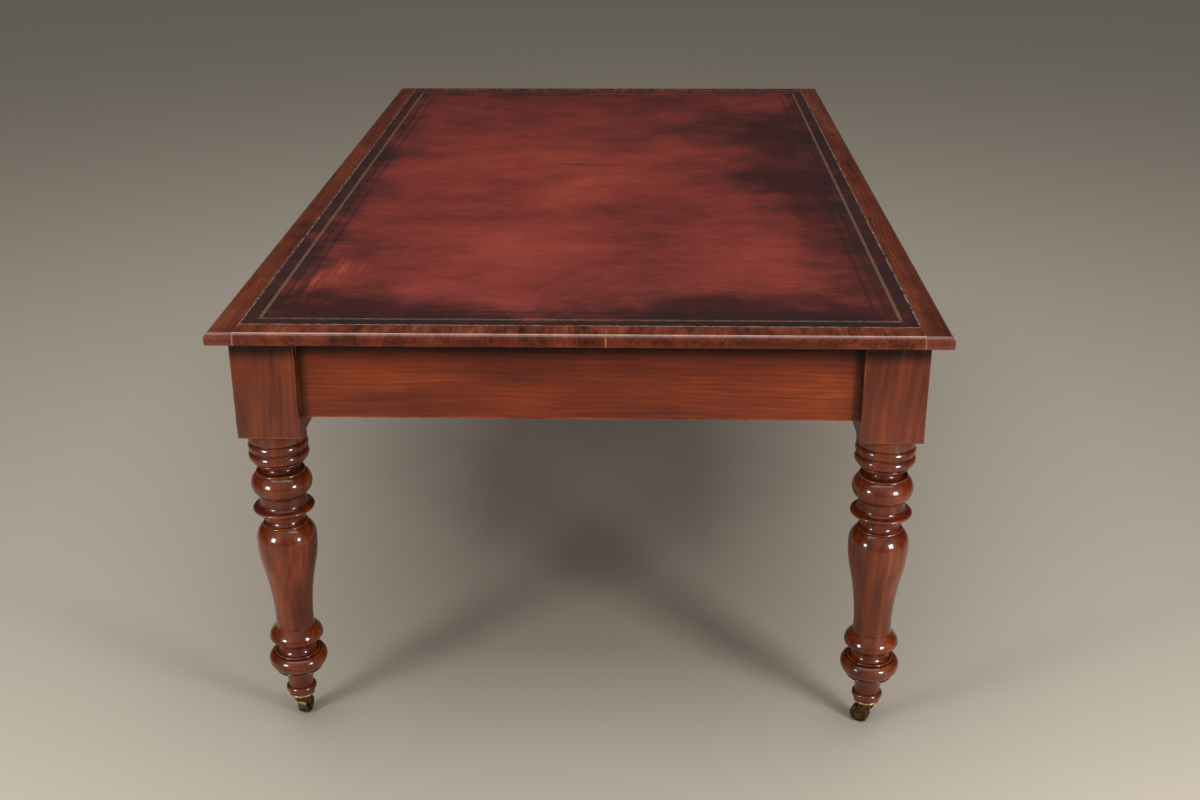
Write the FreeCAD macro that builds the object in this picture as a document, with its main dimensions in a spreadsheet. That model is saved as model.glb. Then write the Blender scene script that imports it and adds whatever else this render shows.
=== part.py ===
"""Partners writing table: a leather-lined top on four turned legs with castors,
and three drawers in each long side. X runs across the table, Y along it, Z up.
The origin is on the floor under the middle of the top. Millimetres."""

import FreeCAD, Part
import math
import os
import re

os.makedirs("parts", exist_ok=True)
doc = FreeCAD.newDocument("partners_table")
V = FreeCAD.Vector
X_AXIS, Y_AXIS, Z_AXIS = V(1, 0, 0), V(0, 1, 0), V(0, 0, 1)

drawer_places = (-1, 0, 1)    # the drawers of a side, counted from the middle one
muntin_places = (-1, 1)       # the muntins stand half a pitch each side of it
tail_count = 3                # dovetails to a drawer corner

# Driving sizes, one cell of the sheet each
driving_sizes = {
    # top
    "top_length": 2065, "top_width": 1195, "desk_height": 775, "top_thickness": 22,
    "border_width": 47, "top_overhang": 31, "leather_thickness": 1.2,
    "nose_reach": 8, "nose_drop": 11.5, "nose_arris_radius": 2, "nose_bottom_radius": 6.5,
    "corner_ease": 6,
    "tongue_length": 8, "tongue_thickness": 6, "band_joint_offset": 46,
    # frame
    "block_side": 105, "block_height": 174, "arris_radius": 1.2, "rail_setback": 15.5,
    "end_rail_depth": 141, "end_rail_thickness": 25, "tenon_length": 38, "tenon_thickness": 10,
    "tenon_shoulder": 14, "top_rail_thickness": 20, "drawer_rail_thickness": 22,
    "rail_width": 62, "dovetail_root": 28, "dovetail_tip": 40, "dovetail_shoulder": 6,
    "twin_tenon_width": 15, "twin_tenon_inset": 8, "twin_tenon_shoulder": 4,
    "muntin_width": 26, "stub_length": 9, "stub_width": 12, "stub_thickness": 10,
    "centre_rail_thickness": 22, "centre_stub_length": 12,
    "runner_bearing": 20, "guide_height": 32, "end_guide_width": 14,
    "corner_block_side": 38, "corner_block_tip": 5, "corner_block_height": 110,
    "stop_length": 40, "stop_width": 12, "stop_height": 5, "stop_inset": 90,
    "button_length": 40, "button_width": 30, "button_thickness": 18, "button_lip": 8,
    "screw_length": 32, "screw_radius": 2.2, "screw_head_radius": 4.4, "screw_head_height": 3,
    # legs
    "turned_radius": 52.5, "toe_top_radius": 15.8, "toe_tip_radius": 12,
    # castors
    "cup_height": 13.6, "cup_rim_radius": 22.6, "cup_rim_height": 5, "cup_waist_radius": 18,
    "cup_base_radius": 14.2, "cup_floor": 3, "cup_gap": 0.1, "crown_gap": 0.4,
    "crown_thickness": 3, "crown_radius": 14.2, "crown_nose": 6.5, "crown_tail": 8.5,
    "cheek_thickness": 2.5, "cheek_boss_radius": 6.8, "castor_trail": 10,
    "wheel_radius": 17, "wheel_width": 17, "wheel_crown_gap": 1, "wheel_side_gap": 0.5,
    "wheel_edge_radius": 2.5, "wheel_rim_width": 4.5, "wheel_dish": 1.6, "wheel_hub_radius": 6.2,
    "pintle_radius": 4, "pintle_gap": 0.06, "pintle_head_radius": 6.4, "pintle_head_height": 2.2,
    "pintle_head_gap": 0.2, "pintle_bore_margin": 0.6,
    "axle_radius": 3, "axle_gap": 0.06, "axle_head_radius": 4.4, "axle_head_height": 1,
    "pin_radius": 0.9, "pin_length": 8, "pin_head_radius": 1.8, "pin_head_height": 0.7,
    # drawers
    "drawer_side_gap": 1, "drawer_top_gap": 1.5, "drawer_seat_gap": 0.3,
    "drawer_back_clearance": 40,
    "front_thickness": 22, "side_thickness": 10, "back_thickness": 9, "side_drop": 5,
    "bottom_thickness": 6, "bottom_rise": 9, "groove_depth": 5, "dovetail_lap": 14,
    "half_pin_height": 6, "pin_height": 7, "tail_slope": 2.2,
    "knob_radius": 21, "knob_reach": 34, "knob_spigot_radius": 8,
    "knob_spigot_length": 17, "knob_spacing": 320,
}

# Worked-out sizes, each a formula of the sizes above it
derived_sizes = {
    "half_length": "top_length / 2",
    "half_width": "top_width / 2",
    "board_top": "desk_height - leather_thickness",
    "block_top": "desk_height - top_thickness",
    "block_bottom": "block_top - block_height",
    "outer_x": "half_width - top_overhang",
    "outer_y": "half_length - top_overhang",
    "inner_x": "outer_x - block_side",
    "inner_y": "outer_y - block_side",
    "leg_x": "outer_x - block_side / 2",
    "leg_y": "outer_y - block_side / 2",
    "drawer_plane": "outer_x - rail_setback",
    "end_rail_outer": "outer_y - rail_setback",
    "end_rail_inner": "end_rail_outer - end_rail_thickness",
    "end_rail_middle": "end_rail_outer - end_rail_thickness / 2",
    "frieze_bottom": "block_top - end_rail_depth",
    "opening_bottom": "frieze_bottom + drawer_rail_thickness",
    "opening_top": "block_top - top_rail_thickness",
    "opening_width":
        f"(2 * inner_y - {len(muntin_places)} * muntin_width) / {len(drawer_places)}",
    "drawer_pitch": "opening_width + muntin_width",
    "rail_back": "drawer_plane - rail_width",
    "rail_middle": "drawer_plane - rail_width / 2",
    "centre_face": "centre_rail_thickness / 2",
    "bearer_half_width": "muntin_width / 2 + runner_bearing",
    "end_bearer_edge": "inner_y - runner_bearing",
    "end_bearer_outer": "inner_y + end_guide_width",
    "end_bearer_middle": "inner_y - runner_bearing / 2",
    "drawer_width": "opening_width - 2 * drawer_side_gap",
    "drawer_depth": "drawer_plane - centre_face - drawer_back_clearance",
    "drawer_height": "opening_top - opening_bottom - drawer_top_gap - drawer_seat_gap",
    "drawer_base": "opening_bottom + drawer_seat_gap",
    "side_height": "drawer_height - side_drop",
    "bottom_top": "bottom_rise + bottom_thickness",
    "tail_pitch": f"(side_height - 2 * half_pin_height + pin_height) / {tail_count}",
    "tail_height": "tail_pitch - pin_height",
    "crown_bottom": "2 * wheel_radius + wheel_crown_gap",
    "crown_top": "crown_bottom + crown_thickness",
    "cup_bottom": "crown_top + crown_gap",
    "toe_bottom": "cup_bottom + cup_floor",
    "cup_top": "cup_bottom + cup_height",
    "cup_rim_bottom": "cup_top - cup_rim_height",
    "cup_rim_root": "cup_rim_radius - cup_rim_height / 2",
    "cup_pin_level": "cup_rim_bottom - pin_head_radius - pin_head_height",
    "pin_seat_radius":
        "cup_base_radius + (cup_waist_radius - cup_base_radius)"
        " * (cup_pin_level - cup_bottom) / (cup_rim_bottom - cup_bottom)",
    "pintle_head_bottom": "toe_bottom + pintle_head_gap",
    "pintle_bore_radius": "pintle_head_radius + pintle_bore_margin",
    "pintle_bore_top": "pintle_head_bottom + pintle_head_height + pintle_bore_margin",
    "cheek_inner": "wheel_width / 2 + wheel_side_gap",
    "cheek_outer": "cheek_inner + cheek_thickness",
}

sizes = doc.addObject("Spreadsheet::Sheet", "sizes")
for row, (alias, number) in enumerate(driving_sizes.items(), start=1):
    sizes.set(f"A{row}", str(number))
    sizes.setAlias(f"A{row}", alias)
layout = doc.addObject("Spreadsheet::Sheet", "layout")


def expression(text, own_sheet=False):
    """A sum of size names, with each name pointing at its cell."""

    def cell_of(word):
        alias = word.group(0)
        if alias in driving_sizes:
            return f"sizes.{alias}"
        if alias in derived_sizes and not own_sheet:
            return f"layout.{alias}"
        return alias

    return re.sub(r"[a-z][a-z0-9_]*", cell_of, text)


for row, (alias, formula) in enumerate(derived_sizes.items(), start=1):
    layout.set(f"A{row}", "=" + expression(formula, own_sheet=True))
    layout.setAlias(f"A{row}", alias)
doc.recompute()


def size(alias):
    """The value of one driving or worked-out size."""
    sheet = sizes if alias in driving_sizes else layout
    return float(sheet.get(alias))


def bind(item, **sums):
    """Ties properties of an item to sums of sizes."""
    for prop, text in sums.items():
        item.setExpression(prop, expression(text))
    return item


def seat(item, x="0", y="0", z="0", turn=None, axis=Z_AXIS):
    """Puts an item at a place that follows the sizes, turned by an angle about an axis."""
    if turn is not None:
        item.Placement.Rotation = FreeCAD.Rotation(axis, turn)
    for letter, text in zip("xyz", (x, y, z)):
        item.setExpression(f"Placement.Base.{letter}", expression(text))
    return item


def span(low, high, side=1):
    """The interval from low to high, or its mirror image on the negative side."""
    return (low, high) if side > 0 else (f"-({high})", f"-({low})")


def box(name, x_span, y_span, z_span):
    """A box between three intervals."""
    item = doc.addObject("Part::Box", name)
    for prop, (low, high) in zip(("Length", "Width", "Height"), (x_span, y_span, z_span)):
        bind(item, **{prop: f"({high}) - ({low})"})
    return seat(item, x_span[0], y_span[0], z_span[0])


def cylinder(name, radius, height, x="0", y="0", z="0", turn=None, axis=Z_AXIS):
    item = bind(doc.addObject("Part::Cylinder", name), Radius=radius, Height=height)
    return seat(item, x, y, z, turn, axis)


def wedge(name, root, tip, length, thickness, turn=None, axis=Z_AXIS, x="0", y="0", z="0"):
    """A dovetail-shaped block: root and tip are intervals in X, at the ends of its length in Y."""
    item = doc.addObject("Part::Wedge", name)
    bind(item, Xmin=root[0], Xmax=root[1], X2min=tip[0], X2max=tip[1])
    bind(item, Ymin="0", Ymax=length, Zmin="0", Zmax=thickness, Z2min="0", Z2max=thickness)
    return seat(item, x, y, z, turn, axis)


def fuse(name, *pieces):
    item = doc.addObject("Part::MultiFuse", name)
    item.Shapes = list(pieces)
    item.Refine = True
    return item


def group(name, *pieces):
    """Separate solids held together as one item."""
    item = doc.addObject("Part::Compound", name)
    item.Links = list(pieces)
    return item


def cut(name, base, *tools):
    """The base with sockets for tools that don't touch each other."""
    item = doc.addObject("Part::Cut", name)
    item.Base = base
    item.Tool = tools[0] if len(tools) == 1 else group(name + "_tools", *tools)
    return item


def round_edges(name, base, radius, wanted):
    """Fillets those edges of the base that the test picks."""
    doc.recompute()
    item = doc.addObject("Part::Fillet", name)
    item.Base = base
    chosen = [n for n, edge in enumerate(base.Shape.Edges, start=1) if wanted(edge)]
    item.Edges = [(n, size(radius), size(radius)) for n in chosen]
    return item


def is_upright(edge):
    return edge.BoundBox.XLength + edge.BoundBox.YLength < edge.BoundBox.ZLength


def runs_level(way, height):
    """A test for edges that run along an axis at a height."""

    def test(edge):
        start, finish = edge.firstVertex().Point, edge.lastVertex().Point
        off_level = max(abs(start.z - height), abs(finish.z - height))
        along = abs((finish - start).dot(way))
        return off_level < size("nose_bottom_radius") / 2 and along > edge.Length / 2

    return test


def section_edges(outline):
    """The closed edges of an outline: a list of (across, height) points, in which an entry
    of four values is an arc through its first point to its second."""
    edges = []
    here = V(*outline[0], 0)
    for entry in outline[1:] + outline[:1]:
        there = V(*entry[-2:], 0)
        if len(entry) > 2:
            edges.append(Part.Arc(here, V(*entry[:2], 0), there))
        else:
            edges.append(Part.LineSegment(here, there))
        here = there
    return edges


def turned(name, outline):
    """A turned body: a sketch of half the section, revolved about the upright axis."""
    body = doc.addObject("PartDesign::Body", name)
    sketch = body.newObject("Sketcher::SketchObject", name + "_section")
    plane = next(p for p in body.Origin.OriginFeatures if p.Role == "XZ_Plane")
    sketch.AttachmentSupport = [(plane, "")]
    sketch.MapMode = "FlatFace"
    sketch.addGeometry(section_edges(outline), False)
    revolution = body.newObject("PartDesign::Revolution", name + "_turning")
    revolution.Profile = sketch
    revolution.ReferenceAxis = (sketch, ["V_Axis"])
    revolution.Angle = 360
    return body


subparts = []


def node(label, item):
    """Names an item as one sub-part of the table."""
    item.Label = label
    subparts.append(item)
    return item


ends = {"front": -1, "back": 1}
sides = {"left": -1, "right": 1}
through_depth = span("-centre_face", "centre_face")

# Top: a tongued board, leather let in flush, and a moulded border round it. The moulding is
# run along the sides and along the ends, so that it meets in a mitre line at each corner.
slab = box("slab", ("-half_width", "half_width"), ("-half_length", "half_length"),
           ("block_top", "desk_height"))
nose_radius = (size("nose_reach") ** 2 + size("nose_drop") ** 2) / (2 * size("nose_reach"))
nose_start = size("desk_height") - size("nose_drop")
nose_turn = math.acos(1 - size("nose_reach") / nose_radius) / 2    # to the middle of the face


def moulding_run(run, half_span, length, turn):
    """A slab that carries the moulding along two opposite edges, from end to end."""
    face_middle = size(half_span) - nose_radius * (1 - math.cos(nose_turn))
    face_height = nose_start + nose_radius * math.sin(nose_turn)
    outline = [(-size(half_span), size("block_top")), (size(half_span), size("block_top")),
               (size(half_span), nose_start),
               (face_middle, face_height,
                size(half_span) - size("nose_reach"), size("desk_height")),
               (size("nose_reach") - size(half_span), size("desk_height")),
               (-face_middle, face_height, -size(half_span), nose_start)]
    section = doc.addObject("Sketcher::SketchObject", f"{run}_section")
    section.Placement.Rotation = turn
    section.addGeometry(section_edges(outline), False)
    blank = doc.addObject("Part::Extrusion", f"{run}_run")
    blank.Base = section
    blank.DirMode = "Normal"
    blank.Solid = True
    blank.Symmetric = True
    return bind(blank, LengthFwd=length)


upright_x = FreeCAD.Rotation(X_AXIS, 90)                # a section across X, run along Y
upright_y = FreeCAD.Rotation(Z_AXIS, 90).multiply(upright_x)
nosings = [round_edges("eased_slab", slab, "corner_ease", is_upright)]
for run, half_span, length, turn, way in (
        ("side", "half_width", "top_length", upright_x, Y_AXIS),
        ("end", "half_length", "top_width", upright_y, X_AXIS)):
    blank = moulding_run(run, half_span, length, turn)
    arris = round_edges(f"{run}_arris", blank, "nose_arris_radius",
                        runs_level(way, size("desk_height")))
    nosings.append(round_edges(f"{run}_nose", arris, "nose_bottom_radius",
                               runs_level(way, size("block_top"))))
moulded_slab = doc.addObject("Part::MultiCommon", "moulded_slab")
moulded_slab.Shapes = nosings
field_x = span("border_width - half_width", "half_width - border_width")
field_y = span("border_width - half_length", "half_length - border_width")
tongue_x = span(f"{field_x[0]} - tongue_length", f"{field_x[1]} + tongue_length")
tongue_y = span(f"{field_y[0]} - tongue_length", f"{field_y[1]} + tongue_length")
tongue_middle = "(block_top + board_top) / 2"
tongue_z = span(f"{tongue_middle} - tongue_thickness / 2", f"{tongue_middle} + tongue_thickness / 2")
board = fuse("board", box("board_field", field_x, field_y, ("block_top", "board_top")),
             box("board_tongue", tongue_x, tongue_y, tongue_z))
node("leather_inset", box("leather", field_x, field_y, ("board_top", "desk_height")))


def border_length(name, x_span, y_span):
    """One length of the moulded border, grooved for the board's tongue."""
    blank = doc.addObject("Part::Common", name + "_blank")
    blank.Base = moulded_slab
    blank.Tool = box(name + "_box", x_span, y_span, ("block_top", "desk_height"))
    return cut(name, blank, board)


for side_name, side in sides.items():
    strip = span("half_width - border_width", "half_width", side)
    node(f"border_{side_name}",
         border_length(f"side_border_{side_name}", strip, ("-half_length", "half_length")))
for end_name, end in ends.items():
    strip = span("half_length - border_width", "half_length", end)
    lengths = [border_length(f"end_border_{end_name}_a", (field_x[0], "band_joint_offset"), strip),
               border_length(f"end_border_{end_name}_b", ("band_joint_offset", field_x[1]), strip)]
    node(f"border_{end_name}", group(f"end_border_{end_name}", *lengths))

# Frame rails, each with its tenons
centre_blank = fuse(
    "centre_blank",
    box("centre_web", through_depth, ("-end_rail_inner", "end_rail_inner"),
        ("frieze_bottom", "block_top")),
    box("centre_stubs", span("-stub_thickness / 2", "stub_thickness / 2"),
        span("-end_rail_inner - centre_stub_length", "end_rail_inner + centre_stub_length"),
        span("frieze_bottom + tenon_shoulder", "block_top - tenon_shoulder")))

end_rail_blanks = {}
for end_name, end in ends.items():
    rail = box(f"end_web_{end_name}", ("-inner_x", "inner_x"),
               span("end_rail_inner", "end_rail_outer", end), ("frieze_bottom", "block_top"))
    tenons = box(f"end_tenons_{end_name}", ("-inner_x - tenon_length", "inner_x + tenon_length"),
                 span("end_rail_middle - tenon_thickness / 2",
                      "end_rail_middle + tenon_thickness / 2", end),
                 ("frieze_bottom + tenon_shoulder", "block_top - tenon_shoulder"))
    end_rail_blanks[end_name] = fuse(f"end_blank_{end_name}", rail, tenons)

top_rail_blanks = {}
drawer_rail_blanks = {}
for side_name, side in sides.items():
    depth = span("rail_back", "drawer_plane", side)
    length = ("-inner_y", "inner_y")
    tails = [
        wedge(f"rail_tail_{side_name}_{end_name}", ("-dovetail_root / 2", "dovetail_root / 2"),
              ("-dovetail_tip / 2", "dovetail_tip / 2"), "tenon_length",
              "top_rail_thickness - dovetail_shoulder", turn=90 - 90 * end,
              x=f"{side} * rail_middle", y=f"{end} * inner_y",
              z="opening_top + dovetail_shoulder")
        for end_name, end in ends.items()]
    top_rail_blanks[side_name] = fuse(
        f"top_blank_{side_name}",
        box(f"top_web_{side_name}", depth, length, ("opening_top", "block_top")), *tails)
    reach = ("-inner_y - tenon_length", "inner_y + tenon_length")
    height = ("frieze_bottom + twin_tenon_shoulder", "opening_bottom - twin_tenon_shoulder")
    inner_twin = span("rail_back + twin_tenon_inset",
                      "rail_back + twin_tenon_inset + twin_tenon_width", side)
    outer_twin = span("drawer_plane - twin_tenon_inset - twin_tenon_width",
                      "drawer_plane - twin_tenon_inset", side)
    drawer_rail_blanks[side_name] = fuse(
        f"drawer_blank_{side_name}",
        box(f"drawer_web_{side_name}", depth, length, ("frieze_bottom", "opening_bottom")),
        box(f"inner_twins_{side_name}", inner_twin, reach, height),
        box(f"outer_twins_{side_name}", outer_twin, reach, height))

# Muntins between the drawers, stub tenoned into the rails above and below
muntins = {side_name: [] for side_name in sides}
for side_name, side in sides.items():
    for number, place in enumerate(muntin_places, start=1):
        middle = f"{place} * drawer_pitch / 2"
        muntins[side_name].append(fuse(
            f"muntin_{side_name}_{number}",
            box(f"muntin_post_{side_name}_{number}", span("rail_back", "drawer_plane", side),
                (f"{middle} - muntin_width / 2", f"{middle} + muntin_width / 2"),
                ("opening_bottom", "opening_top")),
            box(f"muntin_stub_{side_name}_{number}",
                span("rail_back + 2 * stub_width", "drawer_plane - stub_width", side),
                (f"{middle} - stub_thickness / 2", f"{middle} + stub_thickness / 2"),
                ("opening_bottom - stub_length", "opening_top + stub_length"))))
node("muntins", group("muntin_posts", *muntins["left"], *muntins["right"]))


# Runners under the drawers and kickers above them share one form
def bearers(kind, low, high):
    """Four bearers to a side, from the centre rail to the front rail, with stub tenons."""
    made = {side_name: [] for side_name in sides}
    stub_height = (f"({low} + {high} - stub_thickness) / 2", f"({low} + {high} + stub_thickness) / 2")
    for side_name, side in sides.items():
        stub_reach = span("centre_face - stub_length", "rail_back + stub_length", side)
        for place in muntin_places:
            name = f"{kind}_{side_name}_{'near' if place < 0 else 'far'}"
            middle = f"{place} * drawer_pitch / 2"
            shared = box(f"{name}_shared", span("centre_face", "rail_back", side),
                         (f"{middle} - bearer_half_width", f"{middle} + bearer_half_width"),
                         (low, high))
            shared_stub = box(f"{name}_shared_stub", stub_reach,
                              (f"{middle} - stub_width", f"{middle} + stub_width"), stub_height)
            end_board = box(f"{name}_end", span("centre_face", "inner_x", side),
                            span("end_bearer_edge", "end_bearer_outer", place), (low, high))
            end_neck = box(f"{name}_neck", span("centre_face", "rail_back", side),
                           span("end_bearer_edge", "inner_y", place), (low, high))
            end_stub = box(f"{name}_end_stub", stub_reach,
                           span("end_bearer_middle - stub_width / 2",
                                "end_bearer_middle + stub_width / 2", place), stub_height)
            made[side_name] += [fuse(name, shared, shared_stub),
                                fuse(f"{name}_outer", end_board, end_neck, end_stub)]
    return made


runners = bearers("runner", "frieze_bottom", "opening_bottom")
kickers = bearers("kicker", "opening_top", "block_top")
all_runners = runners["left"] + runners["right"]
all_kickers = kickers["left"] + kickers["right"]
node("drawer_runners", group("runner_set", *all_runners))
node("drawer_kickers", group("kicker_set", *all_kickers))

guides = []
stops = []
for side_name, side in sides.items():
    for place in muntin_places:
        middle = f"{place} * drawer_pitch / 2"
        upright = ("opening_bottom", "opening_bottom + guide_height")
        guides.append(box(f"guide_{side_name}_{place + 1}", span("centre_face", "rail_back", side),
                          (f"{middle} - muntin_width / 2", f"{middle} + muntin_width / 2"), upright))
        guides.append(box(f"end_guide_{side_name}_{place + 1}", span("centre_face", "inner_x", side),
                          span("inner_y", "end_bearer_outer", place), upright))
    for place in drawer_places:
        for hand in (-1, 1):
            middle = f"{place} * drawer_pitch + {hand} * (opening_width / 2 - stop_inset)"
            face = "drawer_plane - front_thickness"
            stops.append(box(f"stop_{side_name}_{place + 1}_{hand + 1}",
                             span(f"{face} - stop_width", face, side),
                             (f"{middle} - stop_length / 2", f"{middle} + stop_length / 2"),
                             ("opening_bottom", "opening_bottom + stop_height")))
node("drawer_guides", group("guide_set", *guides))
node("drawer_stops", group("stop_set", *stops))

# Countersunk screws: up through the top rails, and through the buttons at the end rails
screw = fuse("screw",
             cylinder("screw_shank", "screw_radius", "screw_length"),
             bind(doc.addObject("Part::Cone", "screw_head"), Radius1="screw_head_radius",
                  Radius2="screw_radius", Height="screw_head_height"))
rail_screws = {side_name: [] for side_name in sides}
for side_name, side in sides.items():
    for place in drawer_places:
        placed = group(f"rail_screw_{side_name}_{place + 1}", screw)
        rail_screws[side_name].append(
            seat(placed, f"{side} * rail_middle", f"{place} * drawer_pitch", "opening_top"))

button_place_shares = (-0.7, -0.3, 0.3, 0.7)
buttons = {end_name: [] for end_name in ends}
button_screws = []
for end_name, end in ends.items():
    for number, share in enumerate(button_place_shares, start=1):
        middle = f"{share} * inner_x"
        width = (f"{middle} - button_width / 2", f"{middle} + button_width / 2")
        button = fuse(
            f"button_{end_name}_{number}",
            box(f"button_head_{end_name}_{number}", width,
                span("end_rail_inner - button_length", "end_rail_inner", end),
                ("block_top - button_thickness", "block_top")),
            box(f"button_lip_{end_name}_{number}", width,
                span("end_rail_inner - button_lip", "end_rail_inner + button_lip", end),
                ("block_top - button_thickness", "block_top - button_lip")))
        placed = seat(group(f"button_screw_{end_name}_{number}", screw), middle,
                      f"{end} * (end_rail_inner - button_length / 2)",
                      "block_top - button_thickness")
        buttons[end_name].append(cut(f"bored_button_{end_name}_{number}", button, placed))
        button_screws.append(placed)
node("top_buttons", group("button_set", *buttons["front"], *buttons["back"]))
all_screws = rail_screws["left"] + rail_screws["right"] + button_screws
node("top_screws", group("screw_set", *all_screws))
node("top_board", cut("bored_board", board, *all_screws))

# Triangular glue blocks in the four inner corners of the frame
corner_turns = {("front", "left"): 0, ("front", "right"): 90,
                ("back", "right"): 180, ("back", "left"): 270}
glue_blocks = []
for (end_name, side_name), turn in corner_turns.items():
    glue_blocks.append(wedge(
        f"glue_block_{end_name}_{side_name}", ("0", "corner_block_side"),
        ("0", "corner_block_tip"), "corner_block_side", "corner_block_height", turn=turn,
        x=f"{sides[side_name]} * inner_x", y=f"{ends[end_name]} * end_rail_inner",
        z="block_top - corner_block_height"))
node("corner_blocks", group("glue_block_set", *glue_blocks))

# Rails with the sockets of everything that is let into them
for side_name in sides:
    socketed = cut(f"top_socketed_{side_name}", top_rail_blanks[side_name],
                   *muntins[side_name], *kickers[side_name], *rail_screws[side_name])
    node(f"top_rail_{side_name}", socketed)
    node(f"drawer_rail_{side_name}", cut(f"drawer_socketed_{side_name}",
                                         drawer_rail_blanks[side_name],
                                         *muntins[side_name], *runners[side_name]))
for end_name in ends:
    node(f"end_rail_{end_name}", cut(f"end_socketed_{end_name}", end_rail_blanks[end_name],
                                     *buttons[end_name], centre_blank))
node("centre_rail", cut("centre_socketed", centre_blank, *all_runners, *all_kickers))

# Legs: a square block and the turning below it, in shares of the turned height and radius.
# Each row is the end of a member, its radius and, where it is round, its radius at half height.
leg_turning_shares = (
    (1.000, 0.950, None),    # neck under the block
    (0.964, 0.950, None),
    (0.960, 0.907, None),
    (0.928, 0.907, 0.973),   # upper ring
    (0.926, 0.907, None),
    (0.891, 0.829, 0.979),   # second ring
    (0.890, 0.805, None),
    (0.883, 0.805, 0.843),   # small bead
    (0.882, 0.650, None),
    (0.852, 0.655, 0.560),   # deep hollow
    (0.852, 0.770, None),
    (0.846, 0.800, 0.797),   # crisp lip
    (0.845, 0.785, None),
    (0.767, 0.785, 0.992),   # bun
    (0.765, 0.755, None),
    (0.739, 0.755, None),
    (0.725, 0.867, 0.773),   # hollow that turns out over the disc
    (0.723, 0.960, None),
    (0.713, 0.960, 1.000),   # disc, round at its edge
    (0.712, 0.900, None),
    (0.679, 0.590, 0.633),   # deep hollow
    (0.662, 0.690, 0.611),
    (0.662, 0.715, None),
    (0.658, 0.738, 0.734),   # crisp lip
    (0.657, 0.725, None),
    (0.656, 0.750, None),
    (0.611, 0.985, 0.926),   # shoulder
    (0.592, 0.988, 0.989),
    (0.505, 0.882, 0.960),   # long taper
    (0.323, 0.632, 0.716),
    (0.284, 0.634, None),
    (0.272, 0.660, 0.641),   # flare
    (0.250, 0.843, 0.756),
    (0.235, 0.903, 0.880),   # lower ring
    (0.222, 0.860, 0.900),
    (0.220, 0.680, None),
    (0.192, 0.572, 0.596),   # deep hollow
    (0.174, 0.660, 0.591),
    (0.174, 0.715, None),
    (0.170, 0.765, 0.757),   # crisp lip
    (0.168, 0.745, None),
    (0.168, 0.819, None),
    (0.145, 0.985, 0.955),   # foot bun, fullest near its top
    (0.110, 0.770, 0.943),
    (0.102, 0.770, 0.803),   # small bead
    (0.101, 0.705, None),
    (0.099, 0.571, None),
    (0.034, 0.429, 0.448),   # ankle
    (0.008, 0.429, 0.520),   # ankle ring
    (0.008, 0.400, None),
    (0.000, 0.400, None),    # neck over the castor cup
)
turned_height = size("block_bottom") - size("cup_top")
turned_radius = size("turned_radius")
leg_outline = [(0, size("block_bottom"))]
above = size("block_bottom")
for height_share, radius_share, waist_share in leg_turning_shares:
    below = size("cup_top") + height_share * turned_height
    end_point = (radius_share * turned_radius, below)
    waist = () if waist_share is None else (waist_share * turned_radius, (above + below) / 2)
    leg_outline.append(waist + end_point)
    above = below
leg_outline += [(size("toe_top_radius"), size("cup_top")),
                (size("toe_tip_radius"), size("toe_bottom")), (0, size("toe_bottom"))]

cup_outline = [
    (size("pintle_radius") + size("pintle_gap"), size("cup_bottom")),
    (size("cup_base_radius"), size("cup_bottom")),
    (size("cup_waist_radius"), size("cup_rim_bottom")),
    (size("cup_rim_root"), size("cup_rim_bottom")),
    (size("cup_rim_radius"), size("cup_top") - size("cup_rim_height") / 2,
     size("cup_rim_root"), size("cup_top")),
    (size("toe_top_radius") + size("cup_gap"), size("cup_top")),
    (size("toe_tip_radius") + size("cup_gap"), size("toe_bottom")),
    (size("pintle_radius") + size("pintle_gap"), size("toe_bottom")),
]

# Small screws that pin each cup to its leg, one from each side
pin = fuse("pin", cylinder("pin_shank", "pin_radius", "pin_length"),
           cylinder("pin_head", "pin_head_radius", "pin_head_height"))

pins = []
for end_name, end in ends.items():
    for side_name, side in sides.items():
        place = f"{end_name}_{side_name}"
        leg_pins = []
        for hand in (-1, 1):
            leg_pins.append(seat(
                group(f"pin_{place}_{hand + 1}", pin),
                f"{side} * leg_x + {hand} * (pin_seat_radius - pin_head_height / 2)",
                f"{end} * leg_y", "cup_pin_level", turn=-90 * hand, axis=Y_AXIS))
        pins += leg_pins
        turning = seat(turned(f"turning_{place}", leg_outline), f"{side} * leg_x", f"{end} * leg_y")
        block = box(f"block_{place}", span("inner_x", "outer_x", side),
                    span("inner_y", "outer_y", end), ("block_bottom", "block_top"))
        eased = round_edges(f"eased_block_{place}", block, "arris_radius", is_upright)
        bore = cylinder(f"toe_bore_{place}", "pintle_bore_radius", "pintle_bore_top - cup_bottom",
                        f"{side} * leg_x", f"{end} * leg_y", "cup_bottom")
        mortised = cut(f"mortised_leg_{place}", fuse(f"leg_blank_{place}", eased, turning),
                       end_rail_blanks[end_name], top_rail_blanks[side_name],
                       drawer_rail_blanks[side_name], bore, *leg_pins)
        node(f"leg_{place}", mortised)
        cup = seat(turned(f"cup_{place}", cup_outline), f"{side} * leg_x", f"{end} * leg_y")
        node(f"castor_cup_{place}", cut(f"drilled_cup_{place}", cup, *leg_pins))
node("cup_screws", group("pin_set", *pins))

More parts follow.
